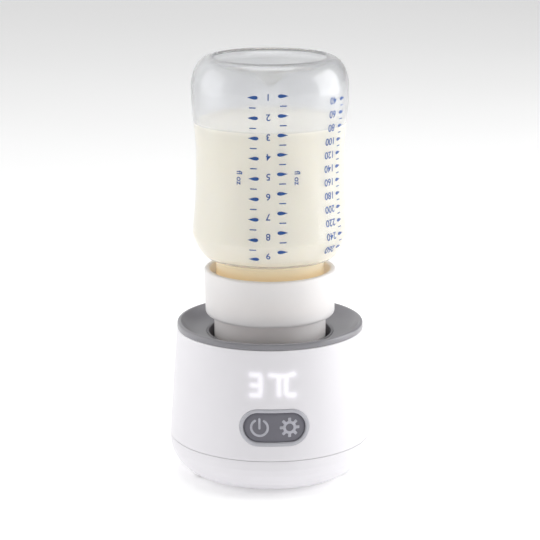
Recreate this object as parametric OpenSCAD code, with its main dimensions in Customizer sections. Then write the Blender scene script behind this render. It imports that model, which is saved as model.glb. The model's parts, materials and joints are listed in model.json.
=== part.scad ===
// Cordless bottle warmer with a screw-on adapter and a feeding bottle standing neck down on it.
// The ground is z = 0, the upright axis of the warmer is the Z axis, and the front faces -Y.

/* [Whole object] */
// Widest outside diameter of the warmer, at the top of the rounded base corner
housing_diameter = 91.4; // [86:0.2:115]
// Height of the warmer from the ground to the rim of its collar
warmer_height = 70; // [70:0.5:90]
// Outside diameter of the housing at its upper edge
top_diameter = 84.1; // [83:0.2:108]
// Widest outside diameter of the bottle
bottle_diameter = 70; // [62:0.5:90]
// Length of the bottle from its mouth to its crown
bottle_length = 112.8; // [90:0.5:140]

/* [Housing and base] */
// Wall of the housing and of the base cover
wall = 2.2; // [1.8:0.1:2.6]
// Height of the seam between the housing and the base cover
seam_height = 17.8; // [16.8:0.1:20]
// Width of the rounded base corner
corner_width = 13.8; // [10:0.1:16]
// Height of the rounded base corner
corner_height = 15.6; // [10:0.1:15.8]
// How far the rubber foot ring stands proud of the base
foot_proud = 0.8; // [0.5:0.1:1.5]
// How far the housing wall swells between its two ends
wall_bulge = 0.17; // [0:0.01:1]

/* [Collar and well] */
// Height of the band of the collar that shows on the outside
collar_band = 2.65; // [2:0.05:6]
// Width of the rounded rim of the collar
rim_width = 2.0; // [1.5:0.1:4]
// Depth of the collar's dish below its rim
dish_depth = 5; // [3:0.1:8]
// Thickness of the collar
collar_wall = 2.0; // [1.6:0.1:2.6]
// Inside diameter of the well
well_diameter = 55.2; // [55:0.1:57]
// Depth of the heating chamber's floor below the dish
well_depth = 24; // [22:0.5:25]
// Wall of the well sleeve
sleeve_wall = 1.8; // [1.4:0.1:2.4]
// Inside diameter of the steel heating chamber
chamber_diameter = 46; // [40:0.5:47]

/* [Keys and display] */
// Width of the key surround
keypad_width = 30.6; // [28:0.2:40]
// Height of the key surround
keypad_height = 16.6; // [14:0.2:20]
// Width of the surround's ring
keypad_ring = 1.8; // [1.2:0.1:2.5]
// Height of the middle of the keys above the ground
keypad_level = 32.9; // [31:0.1:34]
// Distance that the face of the keys lies below the surround
key_recess = 0.7; // [0.4:0.1:1.2]
// Gap round and between the keys
key_gap = 0.3; // [0.25:0.05:0.5]
// Travel of each key
key_travel = 0.5; // [0.3:0.05:0.6]
// Height of the middle of the lit digits above the ground
display_level = 52.1; // [50:0.1:54]
// Width of the display window
display_width = 24; // [20:0.5:26]
// Height of the display window
display_height = 14.5; // [12:0.5:16]

/* [Charging port] */
// Width of the charging socket's shell
socket_width = 8.94; // [8:0.02:10]
// Height of the charging socket's shell
socket_height = 3.26; // [3:0.02:3.6]
// Width of the flap over the charging port
flap_width = 14; // [12:0.5:16]
// Thickness of the flap
flap_thickness = 1.3; // [1:0.1:1.6]

/* [Battery] */
// Diameter of one cell
cell_diameter = 21.2; // [18:0.1:21.4]
// Length of one cell
cell_length = 70; // [60:0.5:70.5]

/* [Adapter] */
// Outside diameter of the adapter's cup at its rim
cup_diameter = 59.2; // [58.6:0.1:80]
// Height of the adapter's cup
cup_height = 21.3; // [19:0.1:26]
// Gap between the rim of the warmer and the underside of the cup
cup_clearance = 3.3; // [1:0.1:8]
// Wall of the cup
cup_wall = 2.6; // [2:0.1:3]
// Outside diameter of the adapter's neck
adapter_neck = 50.4; // [49.5:0.1:50.8]
// Wall of the adapter's neck
neck_wall = 2.5; // [2:0.1:3]
// Rise of the screw thread in one turn
thread_pitch = 4.5; // [4:0.1:5]

/* [Bottle] */
// Wall of the bottle
bottle_wall = 1.6; // [1.2:0.1:2]
// Outside diameter of the bottle's neck, without its thread
bottle_neck = 48.8; // [48:0.1:49.2]
// Diameter at the bottle's waist
waist_diameter = 65.7; // [60:0.1:86]
// Share of the bottle's length, from its mouth, that the milk fills
milk_share = 0.75; // [0.4:0.01:0.8]

/* [Hidden] */
$fn = 96;

eps = 0.05;                 // closes a cut past a face
fit_gap = 0.15;             // between two shells that plug into each other
run_gap = 0.4;              // round what turns or lifts

// Levels and radii of the shell
top_radius = top_diameter / 2;
max_radius = housing_diameter / 2;
base_floor = foot_proud;
corner_top = base_floor + corner_height;
seam_gap = 0.4;
housing_top = warmer_height - collar_band - fit_gap;
inner_floor = base_floor + wall;

// Levels of the well, all hung from the collar
dish_level = warmer_height - dish_depth;
chamber_floor = dish_level - well_depth;
chamber_steel = 0.8;
chamber_rim = chamber_floor + 6;
well_radius = well_diameter / 2;
sleeve_outer = well_radius + sleeve_wall;
flange_radius = sleeve_outer + 4.6;
flange_thickness = 2.4;
seal_inner = well_radius + 0.7;
seal_outer = well_radius + 2.1;
chamber_radius = chamber_diameter / 2;
dish_inner = well_radius + 1.15;
dish_outer = top_radius - rim_width;
dish_power = 2.2;

// Bayonet of the adapter in the sleeve
seal_thickness = 1.9;
neck_radius = adapter_neck / 2;
neck_bore = neck_radius - neck_wall;
neck_bottom = chamber_rim + seal_thickness + 0.15;
lug_radius = well_radius - run_gap;
lug_bottom = neck_bottom + 2;
lug_height = 2.4;
ledge_bottom = lug_bottom + lug_height + 0.6;
ledge_radius = neck_radius + run_gap;
lug_angle = 30;
ledge_thickness = 2;
ear_thickness = 1.6;        // of the ears that the collar's screws hold the sleeve by
track_depth = 0.2;          // how far the lugs' track is sunk into the sleeve's wall
bayonet_turn = 45;

// Cup of the adapter
cup_bottom = warmer_height + cup_clearance;
cup_rim = cup_bottom + cup_height;
cup_radius = cup_diameter / 2;
cup_inner = cup_radius - cup_wall;
cup_floor = cup_bottom + 2.4;

// Bottle, mouth down on the gasket in the cup
gasket_thickness = 1.4;
mouth_level = cup_floor + gasket_thickness + 0.1;
crown_level = mouth_level + bottle_length;
neck_length = 23.2;
shoulder_level = mouth_level + neck_length;
bottle_radius = bottle_diameter / 2;
bottle_neck_radius = bottle_neck / 2;
milk_level = mouth_level + milk_share * bottle_length;
milk_gap = 0.3;
shoulder_radius = bottle_radius - 6.4;
side_radius = bottle_radius - 0.2;
bulge_level = shoulder_level + 10.75;
body_top = crown_level - 14.2;
waist_level = bulge_level + 0.52 * (body_top - bulge_level);
crown_flat = 26 / 35 * bottle_radius;
recess_rim = crown_flat - 1.2;
recess_depth = 11.3;

// Screw thread: a ridge of one turn in the cup and one on the bottle's neck, half a pitch lower
thread_turns = 1;
thread_start = mouth_level + 9.3;
thread_crest_gap = 0.6;
thread_root = 1.0;          // half height of a ridge where it grows out of its wall
thread_tip = 0.5;           // half height of a ridge at its crest

// Screw bosses between base cover and housing
boss_angles = [22, 158, 202, 338];
boss_ring = 34;
boss_radius = 3.3;
boss_height = 9;
boss_bottom = seam_height + 0.5;
counterbore_radius = 2.7;
counterbore_depth = 7.4;

// Cells, board and display
cell_radius = cell_diameter / 2;
cell_clearance = 0.15;
cell_offset = cell_radius + 0.2;
cell_level = inner_floor + 2.6 + cell_radius;
holder_width = 46.4;
holder_length = 60;
post_x = 21.4;
post_y = 24;
board_thickness = 1.6;
board_level = max(cell_level + cell_radius + 2.6, boss_bottom + boss_height + 0.6);
board_radius = min(inner_radius(board_level), inner_radius(board_level + 6)) - 3.2;
front_board_width = 33;
front_board_bottom = board_level - 1.5;
front_board_top = display_level + display_height / 2 + 0.6;
// The front board's face, towards the wall: clear of the display, and clear of the wall at the board's top corners
front_face = -min(inner_radius(display_level) - 4.9,
    sqrt(pow(inner_radius(front_board_top), 2) - pow(front_board_width / 2, 2)) - 0.4);
switch_height = 2.5;        // from the front board's face to the tip of a switch
key_flange = 1.1;           // thickness of the keys' flange behind the wall
lead_x = 13;                // the battery leads' distance from the middle
shield_bottom = chamber_floor - 5.4;

// Cuts through the front or back wall run from well inside the shell to past its widest place
cut_start = top_radius - 12;
cut_end = max_radius + 6;

// Lip of the base cover that plugs into the housing
lip_top = seam_height + 2.6;
lip_radius = inner_radius(lip_top) - fit_gap;
lip_wall = 1.3;

// Charging port on the back
socket_level = board_level + board_thickness + socket_height / 2;
socket_depth = 7.35;
port_wall = outer_radius(socket_level);
socket_mouth = inner_radius(socket_level) - 0.8;
flap_height = 8.2;
flap_axis = socket_level - flap_height / 2 - 0.2;
flap_pin_radius = 0.5;
flap_knuckle = 1.0;
flap_face = port_wall - 0.25;
flap_open = 100;

// ---------- shapes that repeat ----------

// Outside radius of the housing's wall at height z: a cone that swells a little half way up
function outer_radius(z) = let (t = (housing_top - z) / (housing_top - corner_top))
    top_radius + (max_radius - top_radius) * t + 4 * wall_bulge * t * (1 - t);
function inner_radius(z) = outer_radius(z) - wall;

// Points up the wall between two heights, set in by depth
function wall_line(z1, z2, depth, steps = 8) =
    [for (i = [0:steps]) let (z = z1 + (z2 - z1) * i / steps) [outer_radius(z) - depth, z]];

// Points round the base corner, set in by depth, from angle a1 at the bottom to a2
function corner_line(a1, a2, depth, steps = 8) =
    [for (i = [0:steps]) let (a = a1 + (a2 - a1) * i / steps)
        [max_radius - corner_width + (corner_width - depth) * sin(a),
         corner_top - (corner_height - depth) * cos(a)]];

// The dish of the collar: level at radius r
function dish_z(r) =
    dish_level + (dish_depth - 0.35) * pow((r - dish_inner) / (dish_outer - dish_inner), dish_power);
function dish_line(r1, r2, drop, steps = 8) =
    [for (i = [0:steps]) let (r = r1 + (r2 - r1) * i / steps) [r, dish_z(r) - drop]];

module turned(points, angle = 360) rotate_extrude(angle = angle) polygon(points);

module ring(inner, outer, bottom, top) turned([[inner, bottom], [outer, bottom], [outer, top], [inner, top]]);

// A part of a ring between two angles about Z
module ring_part(inner, outer, bottom, top, from, span)
    rotate([0, 0, from]) turned([[inner, bottom], [outer, bottom], [outer, top], [inner, top]], span);

// A shell of the housing's shape round height z, between two depths below its outer surface
module shell(z, half_height, outer_depth, inner_depth)
    turned(concat(wall_line(z - half_height, z + half_height, outer_depth, 1),
        wall_line(z + half_height, z - half_height, inner_depth, 1)));

module at_angles(angles, radius) for (a = angles) rotate([0, 0, a]) translate([radius, 0, 0]) children();

// A pill outline, w wide and h high
module pill(w, h) {
    square([w - h, h], center = true);
    for (side = [-1, 1]) translate([side * (w - h) / 2, 0]) circle(h / 2);
}

// A pill-shaped prism on the front (side = 1) or the back (side = -1), from near to far along Y
module pill_prism(w, h, z, near, far, side = 1)
    translate([0, side == 1 ? -near : far, z]) rotate([90, 0, 0]) linear_extrude(far - near) pill(w, h);

module front_box(w, h, z, near, far) translate([-w / 2, -far, z - h / 2]) cube([w, far - near, h]);

// A round bar from p to q
module bar(p, q, radius) {
    d = q - p;
    translate(p) rotate([0, acos(d[2] / norm(d)), atan2(d[1], d[0])]) cylinder(h = norm(d), r = radius, $fn = 24);
}

// A wire through the points, rounded at each corner
module wire(points, radius) {
    for (i = [0:len(points) - 2]) bar(points[i], points[i + 1], radius);
    for (i = [1:len(points) - 2]) translate(points[i]) sphere(r = radius, $fn = 24);
}

// A screw along Z with its head's seat at height z, its head below
module screw_up(z, length, shank, head, head_height) {
    difference() {
        translate([0, 0, z - head_height]) cylinder(h = head_height, r = head);
        translate([0, 0, z - head_height - eps]) cylinder(h = head_height * 0.6, r = head * 0.5, $fn = 6);
    }
    translate([0, 0, z]) cylinder(h = length, r = shank);
}

// A screw ridge that follows a right-hand helix about Z, from radius base to radius crest
module thread_ridge(base, crest, start, turns, steps_per_turn = 40) {
    steps = round(turns * steps_per_turn);
    section = [[base, -thread_root], [crest, -thread_tip], [crest, thread_tip], [base, thread_root]];
    points = [for (i = [0:steps]) for (s = section)
        let (a = 360 * i / steps_per_turn, z = start + thread_pitch * i / steps_per_turn)
        [s[0] * cos(a), s[0] * sin(a), z + s[1]]];
    sides = [for (i = [0:steps - 1]) for (k = [0:3]) let (p = 4 * i + k, q = 4 * i + (k + 1) % 4)
        for (t = [[p, p + 4, q + 4], [p, q + 4, q]]) base < crest ? t : [t[2], t[1], t[0]]];
    first = base < crest ? [3, 2, 1, 0] : [0, 1, 2, 3];
    last = base < crest ? [0, 1, 2, 3] : [3, 2, 1, 0];
    polyhedron(points, concat([first], sides, [[for (k = last) 4 * steps + k]]));
}

// ---------- shell of the warmer ----------

module housing() color("white") difference() {
    union() {
        turned(concat(wall_line(seam_height + seam_gap / 2, housing_top, 0),
            wall_line(housing_top, seam_height + seam_gap / 2, wall)));
        intersection() {
            union() {
                at_angles(boss_angles, boss_ring)
                    translate([0, 0, boss_bottom]) cylinder(h = boss_height, r = boss_radius);
                at_angles(boss_angles, boss_ring)
                    translate([0, -1, lip_top + 0.6]) cube([12, 2, boss_bottom + boss_height - lip_top - 0.6]);
                // Backing that the flap's recess is cut into
                translate([-flap_width / 2 - 1.6, port_wall - 5.2, flap_axis - 2.6])
                    cube([flap_width + 3.2, 5, flap_height + 4.4]);
            }
            turned(concat([[0, seam_height + seam_gap / 2]],
                wall_line(seam_height + seam_gap / 2, housing_top, wall / 2), [[0, housing_top]]));
        }
    }
    at_angles(boss_angles, boss_ring) translate([0, 0, seam_height]) cylinder(h = 8, r = 1.2);
    // Seat of the key surround and the opening behind it
    intersection() {
        shell(keypad_level, 12, -1, 1.4);
        pill_prism(keypad_width, keypad_height, keypad_level, cut_start, cut_end);
    }
    pill_prism(keypad_width - 2 * keypad_ring, keypad_height - 2 * keypad_ring, keypad_level, cut_start, cut_end);
    // The wall is thinner in front of the display
    intersection() {
        shell(display_level, 10, 0.9, wall + 1);
        front_box(display_width, display_height, display_level, cut_start, cut_end);
    }
    // Charging port: the socket's opening, the flap's recess and room for its hinge
    pill_prism(socket_width + 0.8, socket_height + 0.8, socket_level, socket_mouth - 6, cut_end, -1);
    translate([-flap_width / 2 - run_gap, flap_face - flap_thickness - 0.25, flap_axis])
        cube([flap_width + 2 * run_gap, 10, flap_height + run_gap]);
    translate([-flap_width / 2 - run_gap, flap_pin_y(), flap_axis - 1.6])
        cube([flap_width + 2 * run_gap, 10, 1.6 + eps]);
    translate([-flap_width / 2 - run_gap, flap_pin_y(), flap_axis]) rotate([0, 90, 0])
        cylinder(h = flap_width + 2 * run_gap, r = flap_knuckle + 0.35);
    translate([-flap_width / 2 - 1.5, flap_pin_y(), flap_axis]) rotate([0, 90, 0])
        cylinder(h = flap_width + 3, r = flap_pin_radius);
}

module base_cover() color("gainsboro") difference() {
    union() {
        turned(concat([[0, base_floor]], corner_line(0, 90, 0),
            wall_line(corner_top, seam_height - seam_gap / 2, 0, 1),
            [[lip_radius, seam_height - seam_gap / 2], [lip_radius, lip_top],
             [lip_radius - lip_wall, lip_top], [lip_radius - lip_wall, corner_top - 4.4]],
            corner_line(64, 0, wall), [[0, inner_floor]]));
        at_angles(boss_angles, boss_ring)
            translate([0, 0, base_floor + 1.4])
                cylinder(h = boss_bottom - base_floor - 1.4, r = boss_radius + 0.3);
    }
    at_angles(boss_angles, boss_ring) {
        translate([0, 0, -1]) cylinder(h = base_floor + counterbore_depth + 1, r = counterbore_radius);
        translate([0, 0, 0]) cylinder(h = seam_height + 2, r = 1.4);
    }
    ring(foot_inner(), foot_outer(), -1, base_floor + 1.2);
}

function foot_outer() = min(boss_ring - 3.2, max_radius - corner_width - 0.6);
function foot_inner() = foot_outer() - 4;

module foot_ring() color("dimgray") turned([[foot_inner(), 0.4], [foot_inner() + 0.4, 0],
    [foot_outer() - 0.4, 0], [foot_outer(), 0.4], [foot_outer(), base_floor + 1.2],
    [foot_inner(), base_floor + 1.2]]);

module base_screws() color("silver")
    at_angles(boss_angles, boss_ring) screw_up(base_floor + counterbore_depth, 15.6, 1.2, counterbore_radius - 0.4, 1.8);

module top_collar() color("gray") difference() {
    union() {
        turned(concat(
            [[top_radius, housing_top + fit_gap], [top_radius - 0.1, warmer_height - 0.8],
             [top_radius - 0.4, warmer_height - 0.25], [top_radius - 0.85, warmer_height],
             [dish_outer + 0.5, warmer_height], [dish_outer + 0.15, warmer_height - 0.15]],
            dish_line(dish_outer, dish_inner, 0),
            dish_line(dish_inner, inner_radius(housing_top) - 1.6, collar_wall),
            [[inner_radius(housing_top) - 1.6, housing_top - 5.6],
             [inner_radius(housing_top) - fit_gap, housing_top - 5.6],
             [inner_radius(housing_top) - fit_gap, housing_top],
             [top_radius - wall / 2, housing_top], [top_radius - wall / 2, housing_top + fit_gap]]));
        at_angles([45, 135, 225, 315], collar_boss_ring())
            translate([0, 0, ear_top()]) cylinder(h = dish_level - ear_top(), r = 2.8);
    }
    at_angles([45, 135, 225, 315], collar_boss_ring())
        translate([0, 0, ear_top() - eps]) cylinder(h = 4.2, r = 0.9);
}

function collar_boss_ring() = sleeve_outer + 5.1;
function ear_top() = dish_level - 5;

module well_sleeve() color("lightgray") difference() {
    union() {
        turned([[well_radius, chamber_rim], [flange_radius, chamber_rim],
            [flange_radius, chamber_rim + flange_thickness], [sleeve_outer, chamber_rim + flange_thickness],
            [sleeve_outer, dish_level - collar_wall - 0.1], [dish_inner - 0.05, dish_level - collar_wall - 0.1],
            [dish_inner - 0.05, dish_level], [dish_inner - 0.3, dish_level + 0.25],
            [well_radius + 0.25, dish_level + 0.25], [well_radius, dish_level],
            [well_radius, ledge_bottom + ledge_thickness], [ledge_radius, ledge_bottom + ledge_thickness],
            [ledge_radius, lug_bottom - 1], [well_radius, lug_bottom - 1]]);
        at_angles([30, 150, 270], chamber_screw_ring())
            translate([0, 0, chamber_rim + 0.5]) cylinder(h = 6.5, r = 2.3);
        at_angles([45, 135, 225, 315], collar_boss_ring())
            translate([0, 0, ear_top() - ear_thickness]) cylinder(h = ear_thickness, r = 3);
        for (a = [45, 135, 225, 315]) rotate([0, 0, a])
            translate([sleeve_outer - 0.9, -2.6, ear_top() - ear_thickness]) cube([6, 5.2, ear_thickness]);
    }
    // The way in for each lug, and the track that it turns along to the stop
    for (k = [0:2]) rotate([0, 0, 120 * k]) {
        ring_part(ledge_radius - 2, well_radius + track_depth, lug_bottom - 2, ledge_bottom + ledge_thickness + 1,
            -lug_angle / 2 - 9, lug_angle + 18);
        ring_part(ledge_radius - 2, well_radius + track_depth, lug_bottom - 2, ledge_bottom,
            -lug_angle / 2 - 6 - bayonet_turn, lug_angle + bayonet_turn);
    }
    at_angles([30, 150, 270], chamber_screw_ring())
        translate([0, 0, chamber_rim - eps]) cylinder(h = 6, r = 0.9);
    at_angles([45, 135, 225, 315], collar_boss_ring())
        translate([0, 0, ear_top() - 3]) cylinder(h = 4, r = 1.1);
    ring(seal_inner, seal_outer, chamber_rim - 1, chamber_rim + 1);
}

function chamber_screw_ring() = sleeve_outer + 2;

module collar_screws() color("silver") at_angles([45, 135, 225, 315], collar_boss_ring())
    screw_up(ear_top() - ear_thickness, 5.2, 0.9, 1.9, 1.4);

// ---------- heating chamber ----------

module heating_chamber() color("silver") difference() {
    turned([[0, chamber_floor - chamber_steel], [chamber_radius + chamber_steel, chamber_floor - chamber_steel],
        [chamber_radius + chamber_steel, chamber_rim - chamber_steel],
        [flange_radius, chamber_rim - chamber_steel], [flange_radius, chamber_rim],
        [chamber_radius, chamber_rim], [chamber_radius, chamber_floor + 1.2],
        [chamber_radius - 0.4, chamber_floor + 0.4], [chamber_radius - 1.2, chamber_floor], [0, chamber_floor]]);
    at_angles([30, 150, 270], chamber_screw_ring())
        translate([0, 0, chamber_rim - 2]) cylinder(h = 3, r = 1.2);
}

module chamber_screws() color("silver") at_angles([30, 150, 270], chamber_screw_ring())
    screw_up(chamber_rim - 1.4, 6.6, 0.9, 1.9, 1.4);

module heating_element() color("saddlebrown")
    ring(3.2, chamber_radius - 2, chamber_floor - chamber_steel - 1.4, chamber_floor - chamber_steel);

module temperature_sensor() color("tan") {
    translate([0, 0, chamber_floor - chamber_steel - 2.4]) cylinder(h = 2.4, r = 2.4);
    translate([0, 0, chamber_floor - chamber_steel - 3]) cylinder(h = 0.7, r = 1.2);
}

module heat_shield() color("lightgray") difference() {
    turned([[0, shield_bottom], [chamber_screw_ring() - 3.2, shield_bottom],
        [chamber_screw_ring() - 3.2, chamber_rim - chamber_steel - 0.6],
        [flange_radius, chamber_rim - chamber_steel - 0.6], [flange_radius, chamber_rim - chamber_steel],
        [chamber_screw_ring() - 3.8, chamber_rim - chamber_steel],
        [chamber_screw_ring() - 3.8, shield_bottom + 0.6], [0, shield_bottom + 0.6]]);
    at_angles([30, 150, 270], chamber_screw_ring())
        translate([0, 0, chamber_rim - 3]) cylinder(h = 3, r = 1.2);
    // Slot for the leads of the element and the sensor
    translate([6, -4, shield_bottom - 1]) cube([10, 8, 3]);
}

module chamber_seal() color("darkgray") ring(seal_inner, seal_outer, chamber_rim, chamber_rim + 1);

// ---------- battery and electronics ----------

module cell_bore(radius, length) for (side = [-1, 1])
    translate([side * cell_offset, length / 2, cell_level]) rotate([90, 0, 0]) cylinder(h = length, r = radius);

module battery_cells() color("royalblue") for (side = [-1, 1]) translate([side * cell_offset, 0, cell_level])
    rotate([90, 0, 0]) {
        cylinder(h = cell_length - 1.6, r = cell_radius, center = true);
        translate([0, 0, cell_length / 2 - 1.4]) cylinder(h = 1.4, r = 4);
        translate([0, 0, -cell_length / 2 + 0.8]) cylinder(h = 0.4, r = cell_radius - 1, center = true);
    }

module battery_holder() color("black") difference() {
    union() {
        for (side = [-1, 1]) translate([side * (holder_width / 2 - 1.9) - 1.9, -holder_length / 2, cell_level - 8])
            cube([3.8, holder_length, 15]);
        for (y = [-16, 12]) translate([-holder_width / 2, y, inner_floor]) cube([holder_width, 4, 9]);
        for (x = [-post_x, post_x], y = [-post_y, post_y])
            translate([x, y, cell_level]) cylinder(h = board_level - cell_level, r = 2.3);
    }
    cell_bore(cell_radius + cell_clearance, cell_length + 2);
    for (x = [-post_x, post_x], y = [-post_y, post_y])
        translate([x, y, board_level - 5]) cylinder(h = 6, r = 0.9);
    translate([-holder_width, -12, cell_level + 3]) cube([2 * holder_width, 24, 10]);
}

module battery_tabs() color("gold") for (side = [-1, 1])
    translate([-cell_offset - 4, side * (cell_length / 2 + 0.15) - 0.15, cell_level - 3])
        cube([2 * cell_offset + 8, 0.3, 6]);

module power_board() color("darkgreen") difference() {
    intersection() {
        translate([0, 0, board_level]) cylinder(h = board_thickness, r = board_radius);
        translate([-60, front_face + board_thickness + 1.2, board_level - 1]) cube([120, 100, 4]);
    }
    for (x = [-post_x, post_x], y = [-post_y, post_y])
        translate([x, y, board_level - 1]) cylinder(h = 4, r = 1.2);
    for (side = [-1, 1]) translate([side * lead_x - 1.4, cell_length / 2 - 1, board_level - 1]) cube([2.8, 20, 4]);
}

module power_components() color("dimgray") translate([0, 0, board_level + board_thickness]) {
    translate([-16, 4, 0]) cube([8, 8, 3]);
    translate([-2, 8, 0]) cube([7, 7, 1]);
    translate([10, -8, 0]) cube([5, 6, 1.2]);
    translate([-12, -14, 0]) cube([5, 4, 1.2]);
    for (i = [0:3]) translate([12 + 4 * (i % 2), 6 + 5 * floor(i / 2), 0]) cylinder(h = 3, r = 1.6);
    for (i = [0:4]) translate([-6 + 3 * i, -2, 0]) cube([1.6, 0.8, 0.6]);
}

module charging_socket() color("silver") difference() {
    pill_prism(socket_width, socket_height, socket_level, socket_mouth - socket_depth, socket_mouth, -1);
    difference() {
        pill_prism(socket_width - 0.6, socket_height - 0.6, socket_level, socket_mouth - 6, socket_mouth + 1, -1);
        translate([-3.3, socket_mouth - 7, socket_level - 0.35]) cube([6.6, 5.8, 0.7]);
    }
}

module board_screws() color("silver") for (x = [-post_x, post_x], y = [-post_y, post_y])
    translate([x, y, board_level + board_thickness]) {
        cylinder(h = 1.2, r = 1.8);
        translate([0, 0, -4.6]) cylinder(h = 4.6, r = 0.9);
    }

module front_board() color("darkgreen")
    translate([-front_board_width / 2, front_face, front_board_bottom])
        cube([front_board_width, board_thickness, front_board_top - front_board_bottom]);

module display_module() color("whitesmoke")
    translate([-10.8, front_face - 2.6, display_level - 6.6]) cube([21.6, 2.6, 13.2]);

module tact_switches() color("black") for (x = [-key_middle(), key_middle()]) {
    translate([x - 2.6, front_face - 1.5, keypad_level - 2.6]) cube([5.2, 1.5, 5.2]);
    translate([x, front_face - 1.4, keypad_level]) rotate([90, 0, 0]) cylinder(h = switch_height - 1.4, r = 1.4);
}

module display_diffuser() color("white") intersection() {
    shell(display_level, 10, 0.9, 1.6);
    front_box(display_width - 0.2, display_height - 0.2, display_level, cut_start, cut_end);
}

module keypad_bezel() color("darkgray") difference() {
    intersection() {
        shell(keypad_level, 12, -0.3, 1.4);
        pill_prism(keypad_width - 0.05, keypad_height - 0.05, keypad_level, cut_start, cut_end);
    }
    pill_prism(keypad_width - 2 * keypad_ring, keypad_height - 2 * keypad_ring, keypad_level, cut_start, cut_end);
}

module buzzer() color("black") translate([-19, -10, board_level + board_thickness]) difference() {
    cylinder(h = 2.8, r = 4.5);
    translate([0, 0, 2]) cylinder(h = 1, r = 0.8);
}

module battery_leads() for (side = [-1, 1]) let (x = side * lead_x, y = cell_length / 2)
    color(side < 0 ? "black" : "red") wire([[x, y + 0.3, cell_level + 2], [x, y + 1.2, cell_level + 2],
        [x, y + 1.2, board_level + 3], [x, y - 5, board_level + 3], [x, y - 5, board_level + board_thickness]], 0.6);

module heater_leads() color("firebrick") for (y = [-2.6, 2.6])
    wire([[12, y, chamber_floor - chamber_steel - 1.4], [12, y, shield_bottom - 1.2],
        [18, y, shield_bottom - 1.2], [18, y, board_level + board_thickness]], 0.6);

module sensor_leads() color("gold") for (y = [-0.5, 0.5])
    wire([[0, y, chamber_floor - chamber_steel - 3], [0, y, chamber_floor - chamber_steel - 3.4],
        [9, y, chamber_floor - chamber_steel - 3.4], [9, y, board_level + board_thickness]], 0.3);

module board_ribbon() color("silver") {
    translate([-5, front_face + board_thickness, board_level + 3.2]) cube([10, 5.2, 0.3]);
    translate([-5, front_face + board_thickness + 4.9, board_level + board_thickness]) cube([10, 0.3, 1.9]);
}

// ---------- keys and flap ----------

function key_middle() = (keypad_width - keypad_height) / 2 - 0.4;

// One half of the oval key plate: its face, a flange behind the wall and a plunger
module key_half(side) {
    intersection() {
        union() {
            key_layer(0, key_recess - 0.3, wall + 0.3 + key_flange);
            key_layer(2 + key_gap, wall + 0.3, wall + 0.3 + key_flange);
        }
        translate([side > 0 ? key_gap / 2 : -cut_end - key_gap / 2, -cut_end, 0]) cube([cut_end, cut_end, warmer_height]);
    }
    translate([side * key_middle(), -key_back(), keypad_level]) rotate([-90, 0, 0])
        cylinder(h = key_back() - plunger_tip(), r = 1.5);
}
// A layer of the key plate, wider than its opening by grow, between two depths below the wall
module key_layer(grow, outer_depth, inner_depth) intersection() {
    shell(keypad_level, 12, outer_depth, inner_depth);
    pill_prism(keypad_width - 2 * (keypad_ring + key_gap) + grow,
        keypad_height - 2 * (keypad_ring + key_gap) + grow, keypad_level, cut_start, cut_end);
}
function key_back() = outer_radius(keypad_level) - wall - 1;
function plunger_tip() = -front_face + switch_height + key_travel + 0.15;

module power_key() color("dimgray") key_half(-1);
module settings_key() color("dimgray") key_half(1);

function flap_pin_y() = flap_face - 0.75;

module port_flap() color("white") difference() {
    union() {
        translate([-flap_width / 2, flap_face - flap_thickness, flap_axis])
            cube([flap_width, flap_thickness, flap_height]);
        translate([-flap_width / 2, flap_pin_y(), flap_axis]) rotate([0, 90, 0])
            cylinder(h = flap_width, r = flap_knuckle);
        pill_prism(socket_width - 0.8, socket_height - 1, socket_level - 0.3,
            flap_face - flap_thickness - 1, flap_face - flap_thickness + 0.2, -1);
        translate([-2.5, flap_face - 0.2, flap_axis + flap_height - 1.6]) cube([5, 0.7, 1]);
    }
    translate([-flap_width, flap_pin_y(), flap_axis]) rotate([0, 90, 0])
        cylinder(h = 2 * flap_width, r = flap_pin_radius + 0.06);
}

module flap_pin() color("silver") translate([-flap_width / 2 - 1.4, flap_pin_y(), flap_axis]) rotate([0, 90, 0])
    cylinder(h = flap_width + 2.8, r = flap_pin_radius);

// ---------- adapter, milk and bottle ----------

module adapter_seal() color("lightgray")
    ring(chamber_radius + 0.2, ledge_radius - run_gap, chamber_rim + 0.1, chamber_rim + 0.1 + seal_thickness);

module adapter() color("whitesmoke") union() {
    turned([[neck_bore, neck_bottom], [neck_radius, neck_bottom], [neck_radius, cup_bottom],
        [cup_radius - 0.7, cup_bottom], [cup_radius - 0.3, cup_bottom + 0.4],
        [cup_radius, cup_rim - 0.7], [cup_radius - 0.4, cup_rim - 0.15], [cup_radius - 0.9, cup_rim],
        [cup_inner + 0.6, cup_rim], [cup_inner, cup_rim - 0.6],
        [cup_inner, cup_floor], [neck_bore, cup_floor]]);
    for (k = [0:2]) rotate([0, 0, 120 * k])
        ring_part(neck_radius - 0.5, lug_radius, lug_bottom, lug_bottom + lug_height, -lug_angle / 2, lug_angle);
    thread_ridge(cup_inner + 0.4, bottle_neck_radius + thread_crest_gap, thread_start, thread_turns);
}

module bottle_gasket() color("lightgray")
    ring(neck_bore + 0.2, cup_inner - 0.3, cup_floor, cup_floor + gasket_thickness);

// Outline of the bottle above its shoulder, set in by depth: shoulder, waist and crown
function rounded(n, steps, a1, a2) = [for (i = [0:steps]) let (a = a1 + (a2 - a1) * i / steps)
    [pow(cos(a), 2 / n), pow(sin(a), 2 / n)]];
function shoulder_line(depth) = [for (p = rounded(1.31, 8, 90, 0))
    [shoulder_radius + (side_radius - shoulder_radius) * p[0] - depth,
     bulge_level - (bulge_level - shoulder_level) * p[1] + depth * p[1]]];
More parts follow.
